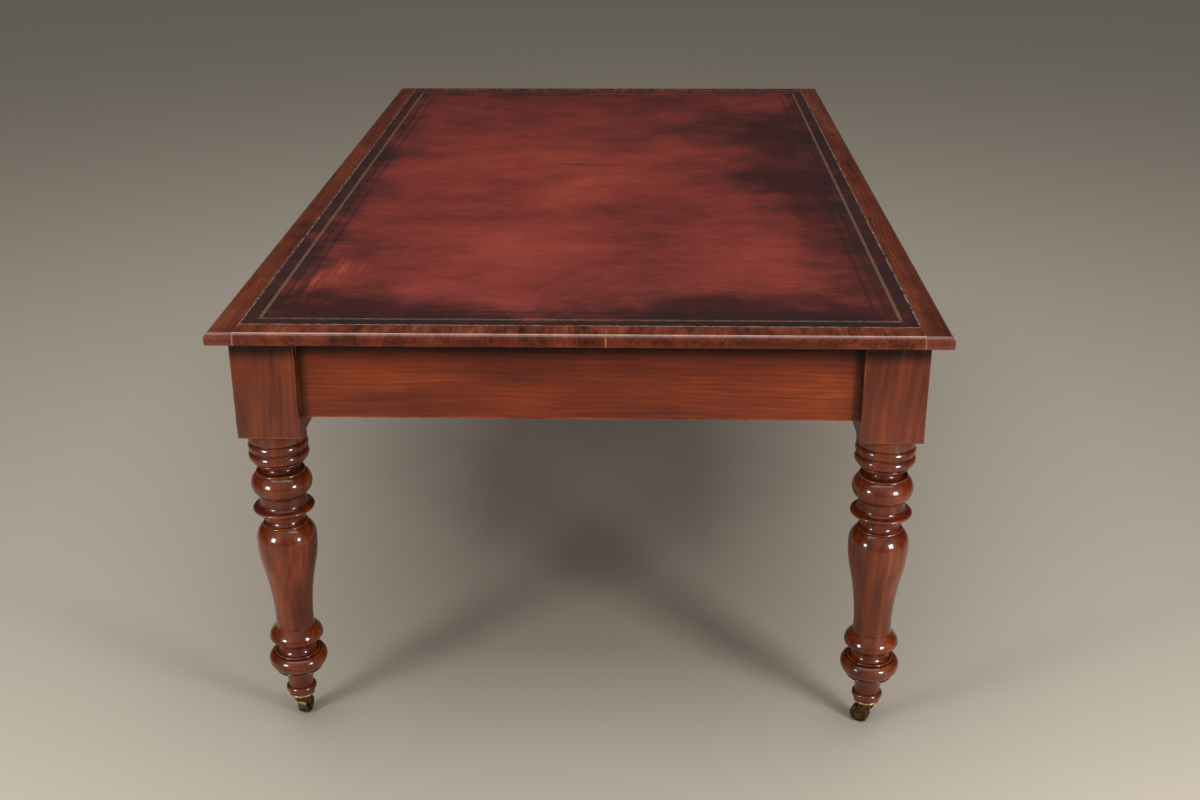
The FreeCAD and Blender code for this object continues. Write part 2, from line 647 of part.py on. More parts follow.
# Castors: a horn on a pintle, an axle and a dished wheel, made once with the trail along +X
axle = fuse(
    "axle",
    cylinder("axle_shank", "axle_radius", "2 * cheek_outer", "castor_trail", "cheek_outer",
             "wheel_radius", turn=90, axis=X_AXIS),
    cylinder("axle_head_near", "axle_head_radius", "axle_head_height", "castor_trail",
             "-cheek_outer", "wheel_radius", turn=90, axis=X_AXIS),
    cylinder("axle_head_far", "axle_head_radius", "axle_head_height", "castor_trail",
             "cheek_outer + axle_head_height", "wheel_radius", turn=90, axis=X_AXIS))
cheeks = []
for hand in (-1, 1):
    outer_face = "cheek_outer" if hand > 0 else "-cheek_inner"
    cheeks.append(wedge(
        f"cheek_{hand + 1}", ("castor_trail - cheek_boss_radius", "castor_trail + cheek_boss_radius"),
        ("-crown_nose", "crown_tail"), "crown_top - wheel_radius", "cheek_thickness",
        turn=90, axis=X_AXIS, y=outer_face, z="wheel_radius"))
    cheeks.append(cylinder(f"cheek_boss_{hand + 1}", "cheek_boss_radius", "cheek_thickness",
                           "castor_trail", outer_face, "wheel_radius", turn=90, axis=X_AXIS))
horn = cut("horn", fuse(
    "horn_blank", *cheeks,
    cylinder("crown", "crown_radius", "crown_thickness", z="crown_bottom"),
    cylinder("pintle", "pintle_radius", "pintle_head_bottom - crown_bottom", z="crown_bottom"),
    cylinder("pintle_head", "pintle_head_radius", "pintle_head_height", z="pintle_head_bottom")),
    axle)

half_width = size("wheel_width") / 2
wheel_radius = size("wheel_radius")
edge = size("wheel_edge_radius")
edge_middle = edge * (1 - math.cos(math.radians(45)))
dish_floor = half_width - size("wheel_dish")
bore_radius = size("axle_radius") + size("axle_gap")
rim_radius = wheel_radius - size("wheel_rim_width")
wheel_outline = [
    (bore_radius, -half_width), (size("wheel_hub_radius"), -half_width),
    (size("wheel_hub_radius"), -dish_floor), (rim_radius, -dish_floor), (rim_radius, -half_width),
    (wheel_radius - edge, -half_width),
    (wheel_radius - edge_middle, -half_width + edge_middle, wheel_radius, -half_width + edge),
    (wheel_radius, half_width - edge),
    (wheel_radius - edge_middle, half_width - edge_middle, wheel_radius - edge, half_width),
    (rim_radius, half_width), (rim_radius, dish_floor), (size("wheel_hub_radius"), dish_floor),
    (size("wheel_hub_radius"), half_width), (bore_radius, half_width),
]
wheel = seat(turned("wheel", wheel_outline), "castor_trail", "0", "wheel_radius",
             turn=90, axis=X_AXIS)

# Degrees that each castor's trail is turned from +X as the table stands
swivel_angles = {"front_left": 75, "front_right": 155, "back_left": 305, "back_right": 20}
for place, angle in swivel_angles.items():
    end_name, side_name = place.split("_")
    for kind, item in (("horn", horn), ("axle", axle), ("wheel", wheel)):
        node(f"castor_{kind}_{place}",
             seat(group(f"placed_{kind}_{place}", item), f"{sides[side_name]} * leg_x",
                  f"{ends[end_name]} * leg_y", "0", turn=angle))

# One drawer, made once with its front face at X = 0, opening towards +X
knob_shares = (   # share of the reach, share of the radius, and radius share at half length
    (0.000, 0.62, None), (0.110, 0.62, None), (0.150, 0.50, None), (0.400, 0.62, 0.40),
    (0.720, 1.00, 0.90), (0.900, 0.78, 0.95))
knob_outline = [(0, -size("knob_spigot_length")),
                (size("knob_spigot_radius"), -size("knob_spigot_length")),
                (size("knob_spigot_radius"), 0)]
before = 0
for reach_share, radius_share, waist_share in knob_shares:
    after = reach_share * size("knob_reach")
    end_point = (radius_share * size("knob_radius"), after)
    waist = () if waist_share is None else (waist_share * size("knob_radius"), (before + after) / 2)
    knob_outline.append(waist + end_point)
    before = after
# The dome is part of a ball, so that it meets the axis square
dome_edge, dome_start = knob_outline[-1][-2:]
dome_rise = size("knob_reach") - dome_start
ball_radius = (dome_edge ** 2 + dome_rise ** 2) / (2 * dome_rise)
dome_waist = math.sqrt(ball_radius * dome_rise - dome_rise ** 2 / 4)
knob_outline.append((dome_waist, dome_start + dome_rise / 2, 0, size("knob_reach")))
knobs = [seat(turned(f"knob_{hand + 1}", knob_outline), "0", f"{hand} * knob_spacing / 2",
              "drawer_height / 2", turn=90, axis=Y_AXIS) for hand in (-1, 1)]

bottom_board = box("bottom_board", ("-drawer_depth", "groove_depth - front_thickness"),
                   ("side_thickness - groove_depth - drawer_width / 2",
                    "drawer_width / 2 - side_thickness + groove_depth"),
                   ("bottom_rise", "bottom_top"))
side_boards = []
for hand in (-1, 1):
    inner_face = "drawer_width / 2 - side_thickness"
    thickness = span(inner_face, "drawer_width / 2", hand)
    pieces = [
        box(f"side_web_{hand + 1}", ("back_thickness - drawer_depth", "-front_thickness"),
            thickness, ("0", "side_height")),
        box(f"side_tail_strip_{hand + 1}", ("-drawer_depth", "back_thickness - drawer_depth"),
            thickness, ("0", "bottom_top"))]
    for count in range(tail_count):
        low = f"half_pin_height + {count} * tail_pitch"
        root = (f"{low} + tail_slope", f"{low} + tail_height - tail_slope")
        tip = (low, f"{low} + tail_height")
        for end_name, length, turn, start in (
                ("front", "dovetail_lap", 1, "-front_thickness"),
                ("back", "back_thickness", -1, "back_thickness - drawer_depth")):
            tail = wedge(f"tail_{end_name}_{hand + 1}_{count}", root, tip, length,
                         "side_thickness", x=start, z="0",
                         y=thickness[0] if turn > 0 else thickness[1])
            # the wedge's X stands upright and its length runs along the drawer
            upright = FreeCAD.Rotation(V(0, 0, 1), V(turn, 0, 0), V(0, turn, 0), "XYZ")
            tail.Placement.Rotation = upright
            pieces.append(tail)
    side_boards.append(fuse(f"side_blank_{hand + 1}", *pieces))
grooved_sides = [cut(f"grooved_side_{n}", board_blank, bottom_board)
                 for n, board_blank in enumerate(side_boards)]
front_blank = box("front_blank", ("-front_thickness", "0"),
                  ("-drawer_width / 2", "drawer_width / 2"), ("0", "drawer_height"))
front = cut("drawer_front", cut("front_dovetailed", front_blank, *side_boards),
            bottom_board, *knobs)
back_blank = box("back_blank", ("-drawer_depth", "back_thickness - drawer_depth"),
                 ("-drawer_width / 2", "drawer_width / 2"), ("bottom_top", "side_height"))
back = cut("drawer_back", back_blank, *side_boards)

for side_name, side in sides.items():
    for number, place in enumerate(drawer_places, start=1):
        for kind, items in (("front", [front]), ("knobs", knobs),
                            ("box", grooved_sides + [back, bottom_board])):
            node(f"drawer_{kind}_{side_name}_{number}",
                 seat(group(f"placed_{kind}_{side_name}_{number}", *items),
                      f"{side} * drawer_plane", f"{place} * drawer_pitch", "drawer_base",
                      turn=90 - 90 * side))

doc.recompute()
for item in doc.Objects:
    if "Invalid" in item.State or "Error" in item.State:
        raise RuntimeError(f"{item.Name} failed: {item.State}")
for item in subparts:
    if item.Shape.isNull() or not item.Shape.isValid() or not item.Shape.Solids:
        raise RuntimeError(f"{item.Label} has no valid solid")
for item in subparts:
    item.Shape.exportStep(f"parts/{item.Label}.step")
print(len(subparts), "sub-parts,", sum(len(item.Shape.Solids) for item in subparts), "solids")
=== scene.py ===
# Partners desk in French-polished mahogany with a tooled leather top, lit as in a small studio
import math

import bpy
from mathutils import Matrix, Vector


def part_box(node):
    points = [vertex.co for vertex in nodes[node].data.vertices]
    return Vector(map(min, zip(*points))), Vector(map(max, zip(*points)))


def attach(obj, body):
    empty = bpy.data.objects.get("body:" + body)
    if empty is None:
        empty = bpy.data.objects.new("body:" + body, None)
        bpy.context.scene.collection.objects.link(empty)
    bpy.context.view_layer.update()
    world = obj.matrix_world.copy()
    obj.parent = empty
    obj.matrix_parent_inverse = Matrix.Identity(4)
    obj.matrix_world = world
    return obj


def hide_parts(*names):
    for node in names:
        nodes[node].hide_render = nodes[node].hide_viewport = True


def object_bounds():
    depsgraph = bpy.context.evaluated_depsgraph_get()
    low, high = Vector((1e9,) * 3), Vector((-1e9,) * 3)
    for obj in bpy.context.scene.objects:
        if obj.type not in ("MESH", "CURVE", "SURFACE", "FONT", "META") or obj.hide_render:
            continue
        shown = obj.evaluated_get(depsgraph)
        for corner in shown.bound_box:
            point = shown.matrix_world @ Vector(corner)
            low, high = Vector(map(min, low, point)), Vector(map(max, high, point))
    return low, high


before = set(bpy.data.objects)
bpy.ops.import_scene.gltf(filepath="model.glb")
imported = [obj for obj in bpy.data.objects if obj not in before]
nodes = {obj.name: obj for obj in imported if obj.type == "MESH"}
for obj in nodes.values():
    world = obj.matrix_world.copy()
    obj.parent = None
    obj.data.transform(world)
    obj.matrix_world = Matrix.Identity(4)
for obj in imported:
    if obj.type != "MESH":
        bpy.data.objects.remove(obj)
cadLow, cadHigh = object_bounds()
mm = 0.001
print("frame loaded:", len(nodes), "nodes")

bpy.context.scene.view_settings.view_transform = "Standard"


def toLinear(hexColour):
    # the sRGB standard's own curve
    channels = [int(hexColour[n:n + 2], 16) / 255 for n in (1, 3, 5)]
    return [c / 12.92 if c <= 0.04045 else ((c + 0.055) / 1.055) ** 2.4 for c in channels] + [1]


def addNode(tree, kind, inputs=None, stops=None, **settings):
    # inputs go by name or number; a node given as a value means its first live output
    node = tree.nodes.new("ShaderNode" + kind)
    for name, value in settings.items():
        setattr(node, name, value)
    if stops:
        while len(node.color_ramp.elements) < len(stops):
            node.color_ramp.elements.new(0.5)
        for element, (place, colour) in zip(node.color_ramp.elements, stops):
            element.position = place
            element.color = toLinear(colour)
    for key, value in (inputs or {}).items():
        live = [s for s in node.inputs if s.enabled]
        socket = node.inputs[key] if isinstance(key, int) else next(s for s in live if s.name == key)
        if isinstance(value, bpy.types.Node):
            value = next(s for s in value.outputs if s.enabled)
        if isinstance(value, bpy.types.NodeSocket):
            tree.links.new(value, socket)
        else:
            socket.default_value = value
    return node


def newMaterial(name):
    material = bpy.data.materials.new(name)
    material.use_nodes = True
    material.node_tree.nodes.clear()
    return material, material.node_tree


def closeMaterial(tree, **sockets):
    # sockets are written as words of the shader's own names, such as coatWeight
    names = {"".join(w.title() if n else w.lower() for n, w in enumerate(s.split())): s
             for s in addNode(tree, "BsdfPrincipled").inputs.keys()}
    shader = tree.nodes[-1]
    for word, value in sockets.items():
        socket = shader.inputs[names[word]]
        if isinstance(value, bpy.types.Node):
            tree.links.new(next(s for s in value.outputs if s.enabled), socket)
        else:
            socket.default_value = value
    addNode(tree, "OutputMaterial", {"Surface": shader})


# Camera, at the photograph's viewing angle
cameraSetup = {
    "place": (0.1030, -3.2115, 1.5767),
    "lens": 44.106, "sensor": 36.0,
    "pitch": 22.677, "yaw": -1.748, "roll": -0.267,   # degrees: down, to the left, and tilted
}


def makeCamera(setup):
    bpy.ops.object.camera_add()
    camera = bpy.context.object
    camera.name = "studioCamera"
    camera.data.lens = setup["lens"]
    camera.data.sensor_width = setup["sensor"]
    turn = (Matrix.Rotation(-math.radians(setup["yaw"]), 4, "Z")
            @ Matrix.Rotation(math.radians(90 - setup["pitch"]), 4, "X")
            @ Matrix.Rotation(math.radians(setup["roll"]), 4, "Z"))
    camera.matrix_world = Matrix.Translation(setup["place"]) @ turn
    bpy.context.scene.camera = camera


makeCamera(cameraSetup)

# Studio: a pale floor, a small softbox at each side of the camera, one large one overhead
studio = {
    "floorSize": 40.0, "floorColour": "#aaa193", "floorRoughness": 0.9,
    "aim": (0.0, -0.95, 0.45),       # what the small softboxes face, metres
    "leftPlace": (-1.55, -2.20, 0.82), "rightPlace": (1.55, -2.20, 0.82),
    "smallBox": (0.44, 0.56), "leftPower": 21.0, "rightPower": 29.0,
    "overPlace": (0.0, -0.50, 3.80), "largeBox": (4.4, 3.8), "overPower": 118,
    "skyAxis": (0.0, -0.5, 0.87),    # the surroundings are brightest this way
    "skyStops": ((0.0, "#2c2c2e"), (0.35, "#3c3c3e"), (0.75, "#9c9b98"), (1.0, "#d6d4d0")),
}


def addSoftbox(name, place, aim, size, power):
    bpy.ops.object.light_add(type="AREA", location=place)
    lamp = bpy.context.object
    lamp.name = name
    lamp.data.shape = "RECTANGLE"
    lamp.data.size, lamp.data.size_y = size
    lamp.data.energy = power
    lamp.rotation_euler = (Vector(place) - Vector(aim)).to_track_quat("Z", "Y").to_euler()
    lamp.visible_camera = False      # a view from another side may have the box in its way


def makeStudio(setup):
    bpy.ops.mesh.primitive_plane_add(size=setup["floorSize"])
    floor = bpy.context.object
    floor.name = "studioFloor"
    material, tree = newMaterial("matt painted floor")
    closeMaterial(tree, baseColor=toLinear(setup["floorColour"]), roughness=setup["floorRoughness"])
    floor.data.materials.append(material)
    for side in ("left", "right"):
        addSoftbox(side + "Softbox", setup[side + "Place"], setup["aim"], setup["smallBox"],
                   setup[side + "Power"])
    below = (setup["overPlace"][0], setup["overPlace"][1], 0.0)
    addSoftbox("overheadSoftbox", setup["overPlace"], below, setup["largeBox"], setup["overPower"])
    world = bpy.data.worlds.new("studioSurroundings")
    bpy.context.scene.world = world
    world.use_nodes = True
    tree = world.node_tree
    tree.nodes.clear()
    towards = addNode(tree, "VectorMath", {0: addNode(tree, "TexCoord").outputs["Generated"],
                                           1: setup["skyAxis"]}, operation="DOT_PRODUCT")
    sky = addNode(tree, "ValToRGB", {"Fac": towards}, setup["skyStops"])
    surroundings = addNode(tree, "Background", {"Color": sky})
    addNode(tree, "OutputWorld", {"Surface": surroundings})


makeStudio(studio)
print("studio ready")

# Woods: one solid texture, drawn out along the grain of each piece
noiseLow, noiseHigh = 0.3, 0.7   # nearly all of a noise texture's values lie between these
noiseSwing = 0.25                # and they stray about this far from their middle
ringGap = math.tau / 20          # a wave texture's rings lie this far apart at scale 1
woodSurface = {   # the same for every wood here
    "seedWay": (1.0, 2.3, 0.7),          # which way a seed moves the figure
    "jointStep": (0.31, 0.57, 0.83),     # how far the figure jumps at a joint, metres
    "jointColour": "#a9826a", "jointShare": 0.8,
    "driftStretch": 3, "streakShare": 0.45,
    "poreStart": 0.40, "poreFull": 0.32, "poreDepth": 0.3,        # noise values, then mm
    "knotChance": 0.45,                  # a cell whose chance is under this has no knot
    "hollowDeep": 0.42, "hollowOpen": 0.98,                       # how much light gets in
    "arrisReach": 3, "arrisStart": 0.94, "arrisFull": 0.66,       # mm, then light again
    "handledSize": 26, "handledLow": 0.38, "handledHigh": 0.62,   # mm, then noise values
    "tintStart": 1, "tintFull": 4,       # mm below the top
}
arrisHighlight = {   # a painted highlight: the pale line along the end borders' arris, mm in from the end and up from the top
    "start": 9.2, "end": 8.2, "high": -0.5, "low": -1.3, "keptShare": 0.55, "colour": "#d6b29c",
}
paintedOverhangShadow = {   # painted shadow under the overhang, mm below the top
    "start": 36.0, "end": 64.0,
}
grainTurns = {"X": (0, math.pi / 2, 0), "Y": (math.pi / 2, 0, 0), "Z": (0, 0, 0)}

mahogany = {   # French-polished Honduras mahogany, old and red-brown
    "stops": ((0.32, "#4c1a0a"), (0.44, "#66260f"), (0.55, "#7b3113"), (0.70, "#944620")),
    "bandWidth": 46, "bandLength": 420, "streakWidth": 5, "streakLength": 190,
    "ringSpacing": 9.0, "ringShare": 0.04, "driftWidth": 160, "drift": 14,
    "rippleWidth": 90, "rippleLength": 60, "rippleDepth": 0.16,
    "poreWidth": 0.5, "poreLength": 7, "poreColour": "#2a0c05", "poreShare": 0.35,
    "knotSpacing": 110, "knotSize": 1.6,
    "roughness": (0.30, 0.42), "coat": 0.72, "coatRoughness": 0.08, "specular": 0.15, "bump": 0.04,
    "rubbed": "#a25c33", "rubbedShare": 0.6,
    "dirtAndShadeReach": 14, "dirtAndShadeShare": 0.05, "underShade": 1.0, "edgeShadeTint": (1, 1, 1), "edgeGloss": 1.0,
    "arrisHighlightShare": 0.0,
}
sideMahogany = {**mahogany,   # browner than the rails, faded by light from the side
                "stops": ((0.32, "#411a0d"), (0.44, "#582615"), (0.55, "#6b311c"), (0.70, "#82472c")),
                "edgeShadeTint": (0.85, 0.72, 0.62)}
railMahogany = {**mahogany,   # a plainer board under the edge, streaked and hardly figured, with deep painted shade under the overhang
                "stops": ((0.32, "#4b1404"), (0.46, "#601e05"), (0.56, "#702706"), (0.70, "#87380e")),
                "dirtAndShadeReach": 70, "underShade": 0.10,
                "bandWidth": 60, "bandLength": 300, "streakWidth": 4,
                "rippleWidth": 110, "rippleLength": 90, "rippleDepth": 0.1}
longRailMahogany = {**railMahogany, "underShade": 0.6}   # a lighter painted shadow under the overhang along the sides than at the ends
legMahogany = {**mahogany,   # the same wood in thick squares, darker and more finely figured
               "stops": ((0.30, "#3a1003"), (0.44, "#4e1804"), (0.56, "#632506"), (0.72, "#7f380f")),
               "bandWidth": 24, "bandLength": 200, "streakWidth": 9, "streakLength": 260,
               "rippleWidth": 40, "rippleLength": 80, "rippleDepth": 0.22,
               "knotSpacing": 70, "coat": 0.85, "rubbedShare": 0.35, "underShade": 0.10}
crossMahogany = {**mahogany,   # curl laid across the end borders, with dark stripes
                 "stops": ((0.33, "#3a170d"), (0.44, "#572616"), (0.53, "#70341f"), (0.68, "#8b4c2f")),
                 "bandWidth": 30, "bandLength": 90, "streakWidth": 7, "streakLength": 60, "drift": 24,
                 "rippleWidth": 60, "rippleLength": 40, "rippleDepth": 0.2,
                 "edgeShadeTint": (0.60, 0.44, 0.34), "edgeGloss": 0.45, "arrisHighlightShare": 0.45}
liningOak = {   # drawer linings, bare quarter-sawn oak gone brown
    "stops": ((0.36, "#6b4a2c"), (0.48, "#8d6840"), (0.56, "#a27c50"), (0.66, "#b08b5e")),
    "bandWidth": 60, "bandLength": 700, "streakWidth": 4, "streakLength": 180,
    "ringSpacing": 3.2, "ringShare": 0.22, "driftWidth": 200, "drift": 8,
    "rippleWidth": 30, "rippleLength": 12, "rippleDepth": 0.10,
    "poreWidth": 0.6, "poreLength": 12, "poreColour": "#4a3019", "poreShare": 0.55,
    "knotSpacing": 160, "knotSize": 2.0,
    "roughness": (0.62, 0.74), "coat": 0.0, "coatRoughness": 0.3, "specular": 0.4, "bump": 0.12,
    "rubbed": "#b8966a", "rubbedShare": 0.4,
    "dirtAndShadeReach": 12, "dirtAndShadeShare": 0.35, "underShade": 1.0, "edgeShadeTint": (1, 1, 1), "arrisHighlightShare": 0.0,
}
carcasePine = {   # hidden rails, runners and the board under the leather, sawn pine
    "stops": ((0.36, "#6e4a29"), (0.48, "#8a6238"), (0.56, "#9a7145"), (0.66, "#ab8455")),
    "bandWidth": 50, "bandLength": 800, "streakWidth": 6, "streakLength": 400,
    "ringSpacing": 5.0, "ringShare": 0.30, "driftWidth": 180, "drift": 16,
    "rippleWidth": 80, "rippleLength": 60, "rippleDepth": 0.08,
    "poreWidth": 0.5, "poreLength": 20, "poreColour": "#5a3a1e", "poreShare": 0.2,
    "knotSpacing": 140, "knotSize": 5.0,
    "roughness": (0.68, 0.8), "coat": 0.0, "coatRoughness": 0.3, "specular": 0.4, "bump": 0.10,
    "rubbed": "#b8966a", "rubbedShare": 0.3,
    "dirtAndShadeReach": 12, "dirtAndShadeShare": 0.35, "underShade": 1.0, "edgeShadeTint": (1, 1, 1), "arrisHighlightShare": 0.0,
}


def grainLayer(tree, place, across, along, detail, roughness=0.5):
    # noise in cells of that many mm across and along the grain, which lies on Z
    cells = (1 / (across * mm), 1 / (across * mm), 1 / (along * mm))
    drawn = addNode(tree, "VectorMath", {0: place, 1: cells}, operation="MULTIPLY")
    return addNode(tree, "TexNoise", {"Vector": drawn, "Scale": 1.0, "Detail": detail,
                                      "Roughness": roughness})


def woodMaterial(name, wood, grain, seed=0.0, joints=()):
    # joints are (place, width) pairs in metres: pale lines across X where lengths are butted,
    # and the figure changes at the first of them
    material, tree = newMaterial(name)
    local = addNode(tree, "TexCoord").outputs["Object"]
    across = addNode(tree, "SeparateXYZ", {"Vector": local}).outputs["X"]
    turned = addNode(tree, "Mapping", {"Vector": local, "Rotation": grainTurns[grain],
                                       "Location": [seed * part for part in woodSurface["seedWay"]]})
    if joints:
        beyond = addNode(tree, "Math", {0: across, 1: joints[0][0]}, operation="GREATER_THAN")
        step = addNode(tree, "VectorMath", {0: woodSurface["jointStep"], 3: beyond}, operation="SCALE")
        turned = addNode(tree, "VectorMath", {0: turned, 1: step}, operation="ADD")
    # the grain wanders: slow noise pushes it sideways
    slow = grainLayer(tree, turned, wood["driftWidth"], woodSurface["driftStretch"] * wood["driftWidth"],
                      detail=1.0)
    centred = addNode(tree, "VectorMath", {0: slow.outputs["Color"], 1: (0.5, 0.5, 0.5)},
                      operation="SUBTRACT")
    push = addNode(tree, "VectorMath", {0: centred, 1: (wood["drift"] / noiseSwing * mm,) * 2 + (0,)},
                   operation="MULTIPLY")
    place = addNode(tree, "VectorMath", {0: turned, 1: push}, operation="ADD")
    band = grainLayer(tree, place, wood["bandWidth"], wood["bandLength"], detail=3.0)
    streak = grainLayer(tree, place, wood["streakWidth"], wood["streakLength"], detail=5.0, roughness=0.6)
    rings = addNode(tree, "TexWave", {"Vector": place, "Scale": ringGap / (wood["ringSpacing"] * mm),
                                      "Distortion": 3.0, "Detail": 2.0, "Detail Scale": 0.4},
                    wave_type="RINGS", rings_direction="Z")
    both = addNode(tree, "Mix", {"Factor": woodSurface["streakShare"], "A": band.outputs["Fac"],
                                 "B": streak.outputs["Fac"]})
    figure = addNode(tree, "Mix", {"Factor": wood["ringShare"], "A": both, "B": rings.outputs["Fac"]})
    colour = addNode(tree, "ValToRGB", {"Fac": figure}, wood["stops"])
    ripple = grainLayer(tree, place, wood["rippleWidth"], wood["rippleLength"], detail=2.0)
    shade = addNode(tree, "MapRange", {"Value": ripple, "From Min": noiseLow, "From Max": noiseHigh,
                                       "To Min": 1 - wood["rippleDepth"],
                                       "To Max": 1 + wood["rippleDepth"]})
    rippled = addNode(tree, "VectorMath", {0: colour, 3: shade}, operation="SCALE")
    pores = grainLayer(tree, place, wood["poreWidth"], wood["poreLength"], detail=1.0)
    poreMask = addNode(tree, "MapRange", {"Value": pores, "From Min": woodSurface["poreStart"],
                                          "From Max": woodSurface["poreFull"],
                                          "To Min": 0.0, "To Max": wood["poreShare"]})
    # pin knots, one at most to a cell, and nearly half of the cells have none
    knots = addNode(tree, "TexVoronoi", {"Vector": place, "Scale": 1 / (wood["knotSpacing"] * mm)})
    chance = addNode(tree, "SeparateColor", {"Color": knots.outputs["Color"]}).outputs["Red"]
    knotReach = addNode(tree, "MapRange", {"Value": chance, "From Min": woodSurface["knotChance"],
                                           "From Max": 1.0,
                                           "To Max": wood["knotSize"] / wood["knotSpacing"]})
    knotMask = addNode(tree, "Math", {0: knots.outputs["Distance"], 1: knotReach}, operation="LESS_THAN")
    specks = addNode(tree, "Math", {0: poreMask, 1: knotMask}, operation="MAXIMUM")
    speckled = addNode(tree, "Mix", {"Factor": specks, "A": rippled, "B": toLinear(wood["poreColour"])},
                       data_type="RGBA")
    # dirt and painted shade darken the quirks, the inner corners and the places between parts
    hollow = addNode(tree, "AmbientOcclusion", {"Distance": wood["dirtAndShadeReach"] * mm}, samples=6)
    dirtAndShade = addNode(tree, "MapRange", {"Value": hollow.outputs["AO"], "From Min": woodSurface["hollowDeep"],
                                       "From Max": woodSurface["hollowOpen"],
                                       "To Min": wood["dirtAndShadeShare"], "To Max": 1.0})
    # painted shade, with some darkening from handling: a moulded edge is darker and browner below its arris
    height = addNode(tree, "SeparateXYZ", {"Vector": local}).outputs["Z"]
    below = addNode(tree, "MapRange", {"Value": height,
                                       "From Min": cadHigh.z - woodSurface["tintStart"] * mm,
                                       "From Max": cadHigh.z - woodSurface["tintFull"] * mm})
    edgeShade = addNode(tree, "Mix", {"Factor": below, "A": (1, 1, 1), "B": wood["edgeShadeTint"]},
                   data_type="VECTOR")
    edgeShaded = addNode(tree, "VectorMath", {0: speckled, 1: edgeShade}, operation="MULTIPLY")
    # painted shadow, deepest close under the overhang
    overhangShadow = addNode(tree, "MapRange", {"Value": height, "From Min": cadHigh.z - paintedOverhangShadow["start"] * mm,
                                           "From Max": cadHigh.z - paintedOverhangShadow["end"] * mm,
                                           "To Min": wood["underShade"], "To Max": 1.0},
                        interpolation_type="SMOOTHSTEP")
    # the painted shade of hollows and overhang, with the dirt, darkens the colour
    shadeAndDirt = addNode(tree, "Math", {0: dirtAndShade, 1: overhangShadow}, operation="MULTIPLY")
    shadedAndDirty = addNode(tree, "VectorMath", {0: edgeShaded, 3: shadeAndDirt}, operation="SCALE")
    # hands and cloths have rubbed the arrises lighter, more in some places than in others
    crest = addNode(tree, "AmbientOcclusion", {"Distance": woodSurface["arrisReach"] * mm}, samples=4,
                    only_local=True, inside=True)
    arris = addNode(tree, "MapRange", {"Value": crest.outputs["AO"], "From Min": woodSurface["arrisStart"],
                                       "From Max": woodSurface["arrisFull"], "To Max": wood["rubbedShare"]})
    handled = addNode(tree, "TexNoise", {"Vector": local, "Scale": 1 / (woodSurface["handledSize"] * mm),
                                         "Detail": 4.0})
    wear = addNode(tree, "MapRange", {"Value": handled, "From Min": woodSurface["handledLow"],
                                      "From Max": woodSurface["handledHigh"]})
    rubbing = addNode(tree, "Math", {0: arris, 1: wear}, operation="MULTIPLY")
    finished = addNode(tree, "Mix", {"Factor": rubbing, "A": shadedAndDirty, "B": toLinear(wood["rubbed"])},
                       data_type="RGBA")
    if wood["arrisHighlightShare"]:
        # a painted highlight: one pale line along the ends' arris, broken in places
        outward = addNode(tree, "Math", {0: addNode(tree, "SeparateXYZ", {"Vector": local}).outputs["Y"]},
                          operation="ABSOLUTE")
        fromEnd = addNode(tree, "Math", {0: cadHigh.y, 1: outward}, operation="SUBTRACT")
        outside = addNode(tree, "MapRange", {"Value": fromEnd, "From Min": arrisHighlight["start"] * mm,
                                             "From Max": arrisHighlight["end"] * mm})
        onTop = addNode(tree, "MapRange", {"Value": height, "From Min": cadHigh.z + arrisHighlight["low"] * mm,
                                           "From Max": cadHigh.z + arrisHighlight["high"] * mm})
        lined = addNode(tree, "Math", {0: outside, 1: onTop}, operation="MULTIPLY")
        kept = addNode(tree, "MapRange", {"Value": wear, "To Min": arrisHighlight["keptShare"], "To Max": 1.0})
        share = addNode(tree, "Math", {0: lined, 1: kept}, operation="MULTIPLY")
        paintedHighlight = addNode(tree, "Math", {0: share, 1: wood["arrisHighlightShare"]}, operation="MULTIPLY")
        finished = addNode(tree, "Mix", {"Factor": paintedHighlight, "A": finished,
                                         "B": toLinear(arrisHighlight["colour"])}, data_type="RGBA")
    for where, width in joints:
        away = addNode(tree, "Math", {0: across, 1: where}, operation="SUBTRACT")
        near = addNode(tree, "MapRange", {"Value": addNode(tree, "Math", {0: away}, operation="ABSOLUTE"),
                                          "From Min": width / 2, "From Max": width / 4,
                                          "To Max": woodSurface["jointShare"]})
        broken = addNode(tree, "Math", {0: near, 1: wear}, operation="MULTIPLY")
        finished = addNode(tree, "Mix", {"Factor": broken, "A": finished,
                                         "B": toLinear(woodSurface["jointColour"])}, data_type="RGBA")
    rough = addNode(tree, "MapRange", {"Value": streak, "From Min": noiseLow, "From Max": noiseHigh,
                                       "To Min": wood["roughness"][0], "To Max": wood["roughness"][1]})
    relief = addNode(tree, "Bump", {"Height": pores, "Strength": wood["bump"],
                                    "Distance": woodSurface["poreDepth"] * mm})
    film = 0.0
    if wood["coat"]:
        # the painted shade and the dirt thin the polish, and a moulded edge is less glossy below its arris
        clean = addNode(tree, "MapRange", {"Value": below, "To Min": 1.0, "To Max": wood["edgeGloss"]})
        bright = addNode(tree, "Math", {0: clean, 1: shadeAndDirt}, operation="MULTIPLY")
        film = addNode(tree, "Math", {0: bright, 1: wood["coat"]}, operation="MULTIPLY")
    closeMaterial(tree, baseColor=finished, roughness=rough, normal=relief,
                  specularIorLevel=wood["specular"], coatWeight=film,
                  coatRoughness=wood["coatRoughness"])
    return material


def dress(names, material):
    # gives a finish to CAD nodes whose shape stays as it is
    for name in names:
        mesh = nodes[name].data
        mesh.materials.clear()
        mesh.materials.append(material)


corners = [f"{end}_{side}" for end in ("front", "back") for side in ("left", "right")]
drawers = [f"{side}_{n}" for side in ("left", "right") for n in (1, 2, 3)]

